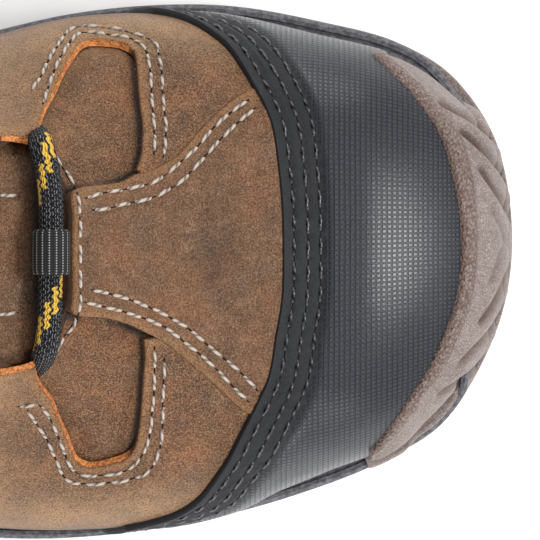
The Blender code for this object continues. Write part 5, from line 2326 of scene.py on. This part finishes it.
@dataclass
class Tongue:
    """Padded tongue under the eyestays, tucked beneath the vamp at its front."""

    last: Last
    places: Sequence[float] = (0.345, 0.40, 0.46, 0.52, 0.58, 0.64, 0.69)
    rise: float = 3.0
    clear: float = 0.6
    reach: float = 12.0
    thick: float = 4.0
    puff: float = 0.9
    finer: int = 6
    channel: float = 0.30
    channel_width: float = 0.035
    edge_powers: tuple = (14, 8)
    edge_share: float = 0.25
    puff_span: tuple = (0.16, 0.3)
    sewn: tuple = (14, -6)
    # x in millimetres over which the tongue's front darkens into painted shadow
    shade: tuple = (48.0, 54.0)
    tucked: Sequence[float] = (0.91, 0.965)
    tuck_half: float = 0.30
    under_stay: Sequence[float] = (0.84, 0.92, 0.985)

    def up(self, s: float) -> Array:
        """Direction out of the throat at s.

        Args:
            s: place along the throat.

        Returns:
            A direction of length 1.
        """
        surface, step = self.last.surface, 0.01
        ahead, behind = (surface(s + d, 1.0) + surface(-s - d, 1.0) for d in (step, -step))
        out = unit(np.cross(ahead - behind, surface(-s, 1.0) - surface(s, 1.0)))
        return out * np.sign(out[2])

    def row(self, s: float) -> list[Array]:
        """Points across the throat at s, from under one eyestay to under the other.

        Args:
            s: place along the throat.

        Returns:
            Points from the inner side to the outer side.
        """
        inner, outer = ([self.last.raised(side * s, t, -(WALL + self.clear)) for t in self.under_stay]
                        for side in (1, -1))
        chord, rise = outer[-1] - inner[-1], self.up(s) * self.rise
        middle = [inner[-1] + chord * f + rise * 4 * f * (1 - f) for f in (0.25, 0.5, 0.75)]
        return inner + middle + outer[::-1]

    def sheet(self) -> Array:
        """Fine grid of the tongue's outer face.

        Returns:
            Points, in rows from the tucked end to the top.
        """
        tuck = np.linspace(self.tuck_half, -self.tuck_half, 9)
        rows = [list(self.last.raised(tuck, t, -(WALL + self.clear))) for t in self.tucked]
        rows += [self.row(s) for s in self.places]
        before, last = np.array(rows[-2:])
        rows.append(list(last + unit(last - before) * self.reach))
        return spread(np.array(rows), self.finer)

    def build(self, leather: LeatherFinish, lining: FabricFinish, thread: Stitching) -> None:
        """Make the tongue and sew its two channels.

        Args:
            leather: finish of the outside.
            lining: finish of the back.
            thread: stitching of the channels.
        """
        face = self.sheet()
        out = np.cross(np.gradient(face, axis=1), np.gradient(face, axis=0))
        out = unit(out * np.sign(np.sum(out[:, :, 2:], axis=(0, 1))))
        a, b = (np.linspace(0, 1, n) for n in face.shape[:2])
        down, over = (1 - np.abs(2 * f - 1) ** power for f, power in zip((a, b), self.edge_powers))
        swell = np.sqrt(down[:, None] * over)
        across = np.linspace(-1, 1, face.shape[1])
        channel = np.exp(-((np.abs(across) - self.channel) / self.channel_width) ** 2)
        crown = self.puff * (1 - channel)[None, :] * swell * ease(a, *self.puff_span)[:, None]
        half = self.thick / 2 * (self.edge_share + (1 - self.edge_share) * swell)
        middle = face - out * self.thick / 2
        made = PieceMesh()
        top = middle + out * (half + crown * 0.5)[..., None]
        # Painted shadow: the tongue's front, under the lace and the vamp, goes near-black
        dark = ease(top[..., 0], *self.shade)
        high = made.add_points(top, depth=9.0, grime=dark.ravel()).reshape(face.shape[:2])
        low = made.add_points(middle - out * half[..., None]).reshape(face.shape[:2])
        for sign in (1, -1):
            column = int(np.argmin(np.abs(across - sign * self.channel)))
            sewn = slice(*self.sewn)
            thread.run(top[sewn, column], out[sewn, column])
        made.add_sheet(high, low, slot=1)
        piece = made.build("tongue", [leather.material(), lining.material()], 60.0)
        recalculated(piece)
        settle(piece, "brown_leather", "tongue")


def add_lace(made: PieceMesh, route: Array, radius: float, sides: int = 16) -> None:
    """Add a round lace with domed ends along a route.

    Args:
        made: the mesh to add to.
        route: points of its middle line.
        radius: half its thickness.
        sides: number of its sides.
    """
    along = unit(np.gradient(route, axis=0))
    side = np.cross(along[0], (0.0, 0.0, 1.0))
    sideways = []
    for way in along:
        side = unit(side - way * np.dot(side, way))
        sideways.append(side)
    sizes = np.full(len(route), radius)
    sizes[[0, -1]] *= 0.35
    sizes[[1, -2]] *= 0.85
    across = np.array(sideways)
    made.add_tube(route, across, np.cross(along, across), sizes, run_along(route), sides)


@dataclass
class Lacing:
    """Lace bar at the throat with its webbing keeper, crossings up the tongue, and the eyelets."""

    last: Last
    tongue: Tongue
    eyelet_places: Sequence[float] = (0.43, 0.50, 0.57, 0.64)
    eyelet_height: float = 0.90
    ring: float = 4.2
    wire: float = 1.3
    flat: float = 0.6
    stay: float = 2.1
    cross_radius: float = 2.4
    stand_clear: float = 0.3
    bridge_rise: float = 6.6
    bridge_lean: float = 0.9
    landing: Rows = ((0.62, 5.0), (0.96, 0.4))
    bar_radius: float = 2.65
    bar_middle: float = 98.0
    bar_seen: Rows = (
        (41.5, 146), (47, 168), (50.5, 195), (51.5, 222), (51.5, 252), (50.5, 284), (50, 312), (47, 344),
    )
    bar_heights: Sequence[float] = (94.6, 96.0, 96.9, 97.8, 98.0, 97.2, 96.4, 94.4)
    bar_hidden: Rows = ((40, 132), (30, 114), (43, 366), (34, 384))
    bar_sinks: Sequence[float] = (-1.6, -4.5, -1.6, -4.5)
    keeper_x: float = 55.7
    keeper_y: float = 3.9
    keeper_half: float = 4.9
    keeper_thick: float = 1.1

    def bar_route(self) -> Array:
        """Run of lace across the throat, in under both eyestays' edges.

        Returns:
            Points of its middle line.
        """
        spots = map(self.last.camera.spot, self.bar_seen, self.bar_heights)
        ends = self.last.lifted(self.last.from_pixels(self.bar_hidden), self.bar_sinks)
        return smooth_route([ends[1], ends[0], *spots, ends[2], ends[3]], 8)

    def cross_route(self, side: int, low: float, high: float) -> Array:
        """One crossing: out of an eyelet, over the eyestay's edge, across the tongue, under the far edge.

        Args:
            side: sign of the side it starts on.
            low: s of the eyelet that it leaves.
            high: s of the eyelet that it goes to.

        Returns:
            Points of its middle line.
        """
        surface, raised = self.last.surface, self.last.raised
        stand = self.stay + 2 * self.wire * self.flat + self.cross_radius + self.stand_clear
        middle = (low + high) / 2
        near = low + (high - low) * 0.15
        bridge = (surface(middle, 1.0) + surface(-middle, 1.0)) / 2
        far = surface(-side * high, 1.0)
        centre = (surface(high, 1.0) + surface(-high, 1.0)) / 2
        up = self.tongue.up(high)
        return smooth_route([
            raised(side * low, self.eyelet_height, -1.5),
            raised(side * low, self.eyelet_height + 0.005, stand - 1.2),
            raised(side * near, 0.985, stand),
            bridge + self.tongue.up(middle) * (self.bridge_rise + self.bridge_lean * side),
            *(centre + (far - centre) * share + up * rise for share, rise in self.landing),
        ], 9)

    def build_laces(self, finish: LaceFinish) -> None:
        """Make the bar and the crossings.

        Args:
            finish: finish of the braid.
        """
        braid = finish.material()
        made = PieceMesh()
        add_lace(made, self.bar_route(), self.bar_radius, 20)
        settle(made.build("lace_bar", [braid], 180.0, "braid"), "lace_cord", "lace_bar")
        for number, (low, high) in enumerate(zip(self.eyelet_places, self.eyelet_places[1:]), start=1):
            made = PieceMesh()
            for side in (1, -1):
                add_lace(made, self.cross_route(side, low, high), self.cross_radius)
            name = f"lace_cross_{number}"
            settle(made.build(name, [braid], 180.0, "braid"), "lace_cord", name)

    def build_keeper(self, finish: WebbingFinish) -> None:
        """Make the webbing loop over the bar.

        Args:
            finish: finish of the webbing.
        """
        reach = self.bar_radius + 0.35
        turns = np.radians(np.linspace(-12, 192, 29))
        path = np.column_stack((np.cos(turns), np.sin(turns)))
        legs = path[[0, -1]] + ((0.05, -1.3), (-0.05, -1.3))
        path = np.concatenate((legs[:1], path, legs[1:]))
        ways = np.gradient(path, axis=0)
        outs = unit(np.column_stack((ways[:, 1], -ways[:, 0])))
        run = run_along(path) * reach
        sides = np.linspace(-1, 1, 25)
        soft = np.sqrt(1 - np.abs(sides) ** 10)
        made = PieceMesh()
        sheets = []
        for sign in (1, -1):
            height = 0.5 * self.keeper_thick * (1 + sign * soft)
            x, z = (path[:, [k]] * reach + outs[:, [k]] * height for k in (0, 1))
            y = np.broadcast_to(self.keeper_y - sides * self.keeper_half, x.shape)
            points = np.stack((self.keeper_x + x, y, self.bar_middle + z), axis=-1)
            sheets.append(made.add_points(points).reshape(x.shape))
        corners = np.stack(np.meshgrid(run, sides * self.keeper_half, indexing="ij"), axis=-1)
        made.add_sheet(*sheets, corners=corners)
        piece = made.build("lace_keeper", [finish.material()], 60.0, "webbing")
        recalculated(piece)
        settle(piece, "lace_cord", "lace_keeper")

    def build_eyelets(self, finish: MetalFinish) -> None:
        """Make the flat metal rings down both eyestays.

        Args:
            finish: finish of the metal.
        """
        metal = finish.material()
        for side in Side:
            for number, s in enumerate(self.eyelet_places, start=1):
                v = side.value * s
                lift = self.stay + self.wire * self.flat * 0.6
                name = f"eyelet_{side.name.lower()}_{number}"
                piece = self.eyelet(name, Vector(self.last.raised(v, self.eyelet_height, lift)) * MM,
                                    Vector(self.last.normal(v, self.eyelet_height)))
                piece.data.materials.append(metal)
                settle(piece, "eyelet_metal", name)

    def eyelet(self, name: str, place: Vector, out: Vector) -> Piece:
        """One flattened ring, facing out.

        Args:
            name: name of the piece.
            place: its middle, in metres.
            out: direction that it faces.

        Returns:
            The ring, at the origin.
        """
        bpy.ops.object.select_all(action="DESELECT")
        bpy.ops.mesh.primitive_torus_add(major_segments=40, minor_segments=12, major_radius=self.ring * MM,
                                         minor_radius=self.wire * MM)
        piece = bpy.context.object
        piece.name = name
        piece.data.name = name
        bpy.ops.object.mode_set(mode="EDIT")
        bpy.ops.transform.resize(value=(1.0, 1.0, self.flat))
        bpy.ops.object.mode_set(mode="OBJECT")
        bpy.ops.object.shade_smooth()
        piece.rotation_mode = "QUATERNION"
        piece.rotation_quaternion = out.to_track_quat("Z", "Y")
        piece.location = place
        bpy.ops.object.transform_apply(location=True, rotation=True, scale=True)
        return piece

    def build(self, lace: LaceFinish, webbing: WebbingFinish, metal: MetalFinish) -> None:
        """Make everything that laces the boot.

        Args:
            lace: finish of the laces.
            webbing: finish of the keeper.
            metal: finish of the eyelets.
        """
        self.build_eyelets(metal)
        self.build_laces(lace)
        self.build_keeper(webbing)


@dataclass
class Studio:
    """Pale floor and soft light from all sides of the toe."""

    floor_size: float = 6.0
    floor_glow: float = 0.12
    sky: float = 0.28
    lamps: Sequence[tuple[str, tuple, float, float]] = (
        ("cap_light", (0.88, -0.025, 1.08), 0.52, 13.5),
        ("toe_light", (1.25, 0.05, 0.45), 0.9, 2.0),
        ("inner_light", (0.05, 1.2, 0.55), 1.1, 11.0),
        ("outer_light", (0.05, -1.2, 0.55), 1.1, 13.8),
        ("top_light", (-0.25, 0.0, 1.8), 1.3, 2.7),
    )
    aim: tuple = (0.09, 0.0, 0.05)

    def build(self) -> None:
        """Make the floor, the sky and the lamps."""
        bpy.ops.object.select_all(action="DESELECT")
        bpy.ops.mesh.primitive_plane_add(size=self.floor_size, location=(0.0, 0.0, -0.0005))
        floor = bpy.context.object
        floor.name = "floor"
        bpy.ops.object.transform_apply(location=True)
        pale = PlainFinish("pale_floor", tone(247, 247, 247), tone(251, 251, 251), glow=self.floor_glow)
        floor.data.materials.append(pale.material())
        for name, place, size, power in self.lamps:
            lamp = bpy.data.lights.new(name, "AREA")
            lamp.shape = "DISK"
            lamp.size = size
            lamp.energy = power
            made = bpy.data.objects.new(name, lamp)
            made.location = place
            made.rotation_euler = (Vector(self.aim) - Vector(place)).to_track_quat("-Z", "Y").to_euler()
            made.visible_camera = False
            bpy.context.collection.objects.link(made)
        world = bpy.data.worlds.new("studio_sky")
        world.use_nodes = True
        world.node_tree.nodes["Background"].inputs["Color"].default_value = (1.0, 1.0, 1.0, 1.0)
        world.node_tree.nodes["Background"].inputs["Strength"].default_value = self.sky
        bpy.context.scene.world = world
        bpy.context.scene.view_settings.view_transform = "Standard"


def main() -> None:
    """Dress the boot, piece by piece."""
    logging.basicConfig(level=logging.INFO, format="%(message)s")
    camera = PhotoCamera()
    camera.build()
    Studio().build()
    last = Last(camera)
    vamp = LeatherFinish("vamp_leather")
    leather = LeatherFinish("brown_leather", mid=tone(97, 65, 39), light=tone(92, 62, 37),
                            glint=tone(146, 110, 78), spark=tone(182, 142, 104), pore=tone(44, 22, 6))
    under = replace(leather, name="under_leather", rough=0.6, mid=tone(101, 63, 36), red=tone(122, 64, 38))
    lining = FabricFinish("lining_cloth")
    panels = UpperPanels(last, PanelLevels())
    panels.make()
    SoleUnit(last).build(RubberFinish("tread_rubber"), FoamFinish(), FabricFinish("footbed_cloth"))
    shell = UpperShell(last)
    shell.build(under, lining, RawEdgeFinish("topline_edge"))
    tongue = Tongue(last)
    tongue.build(LeatherFinish("tongue_leather"), lining, panels.pale)
    panels.build(leather, vamp, CapFinish(), RawEdgeFinish(), shell)
    ToeBumper(last, panels.bumper_edge).build(RubberFinish("bumper_rubber"))
    Lacing(last, tongue).build(LaceFinish(), WebbingFinish(), MetalFinish())


if __name__ == "__main__":
    main()
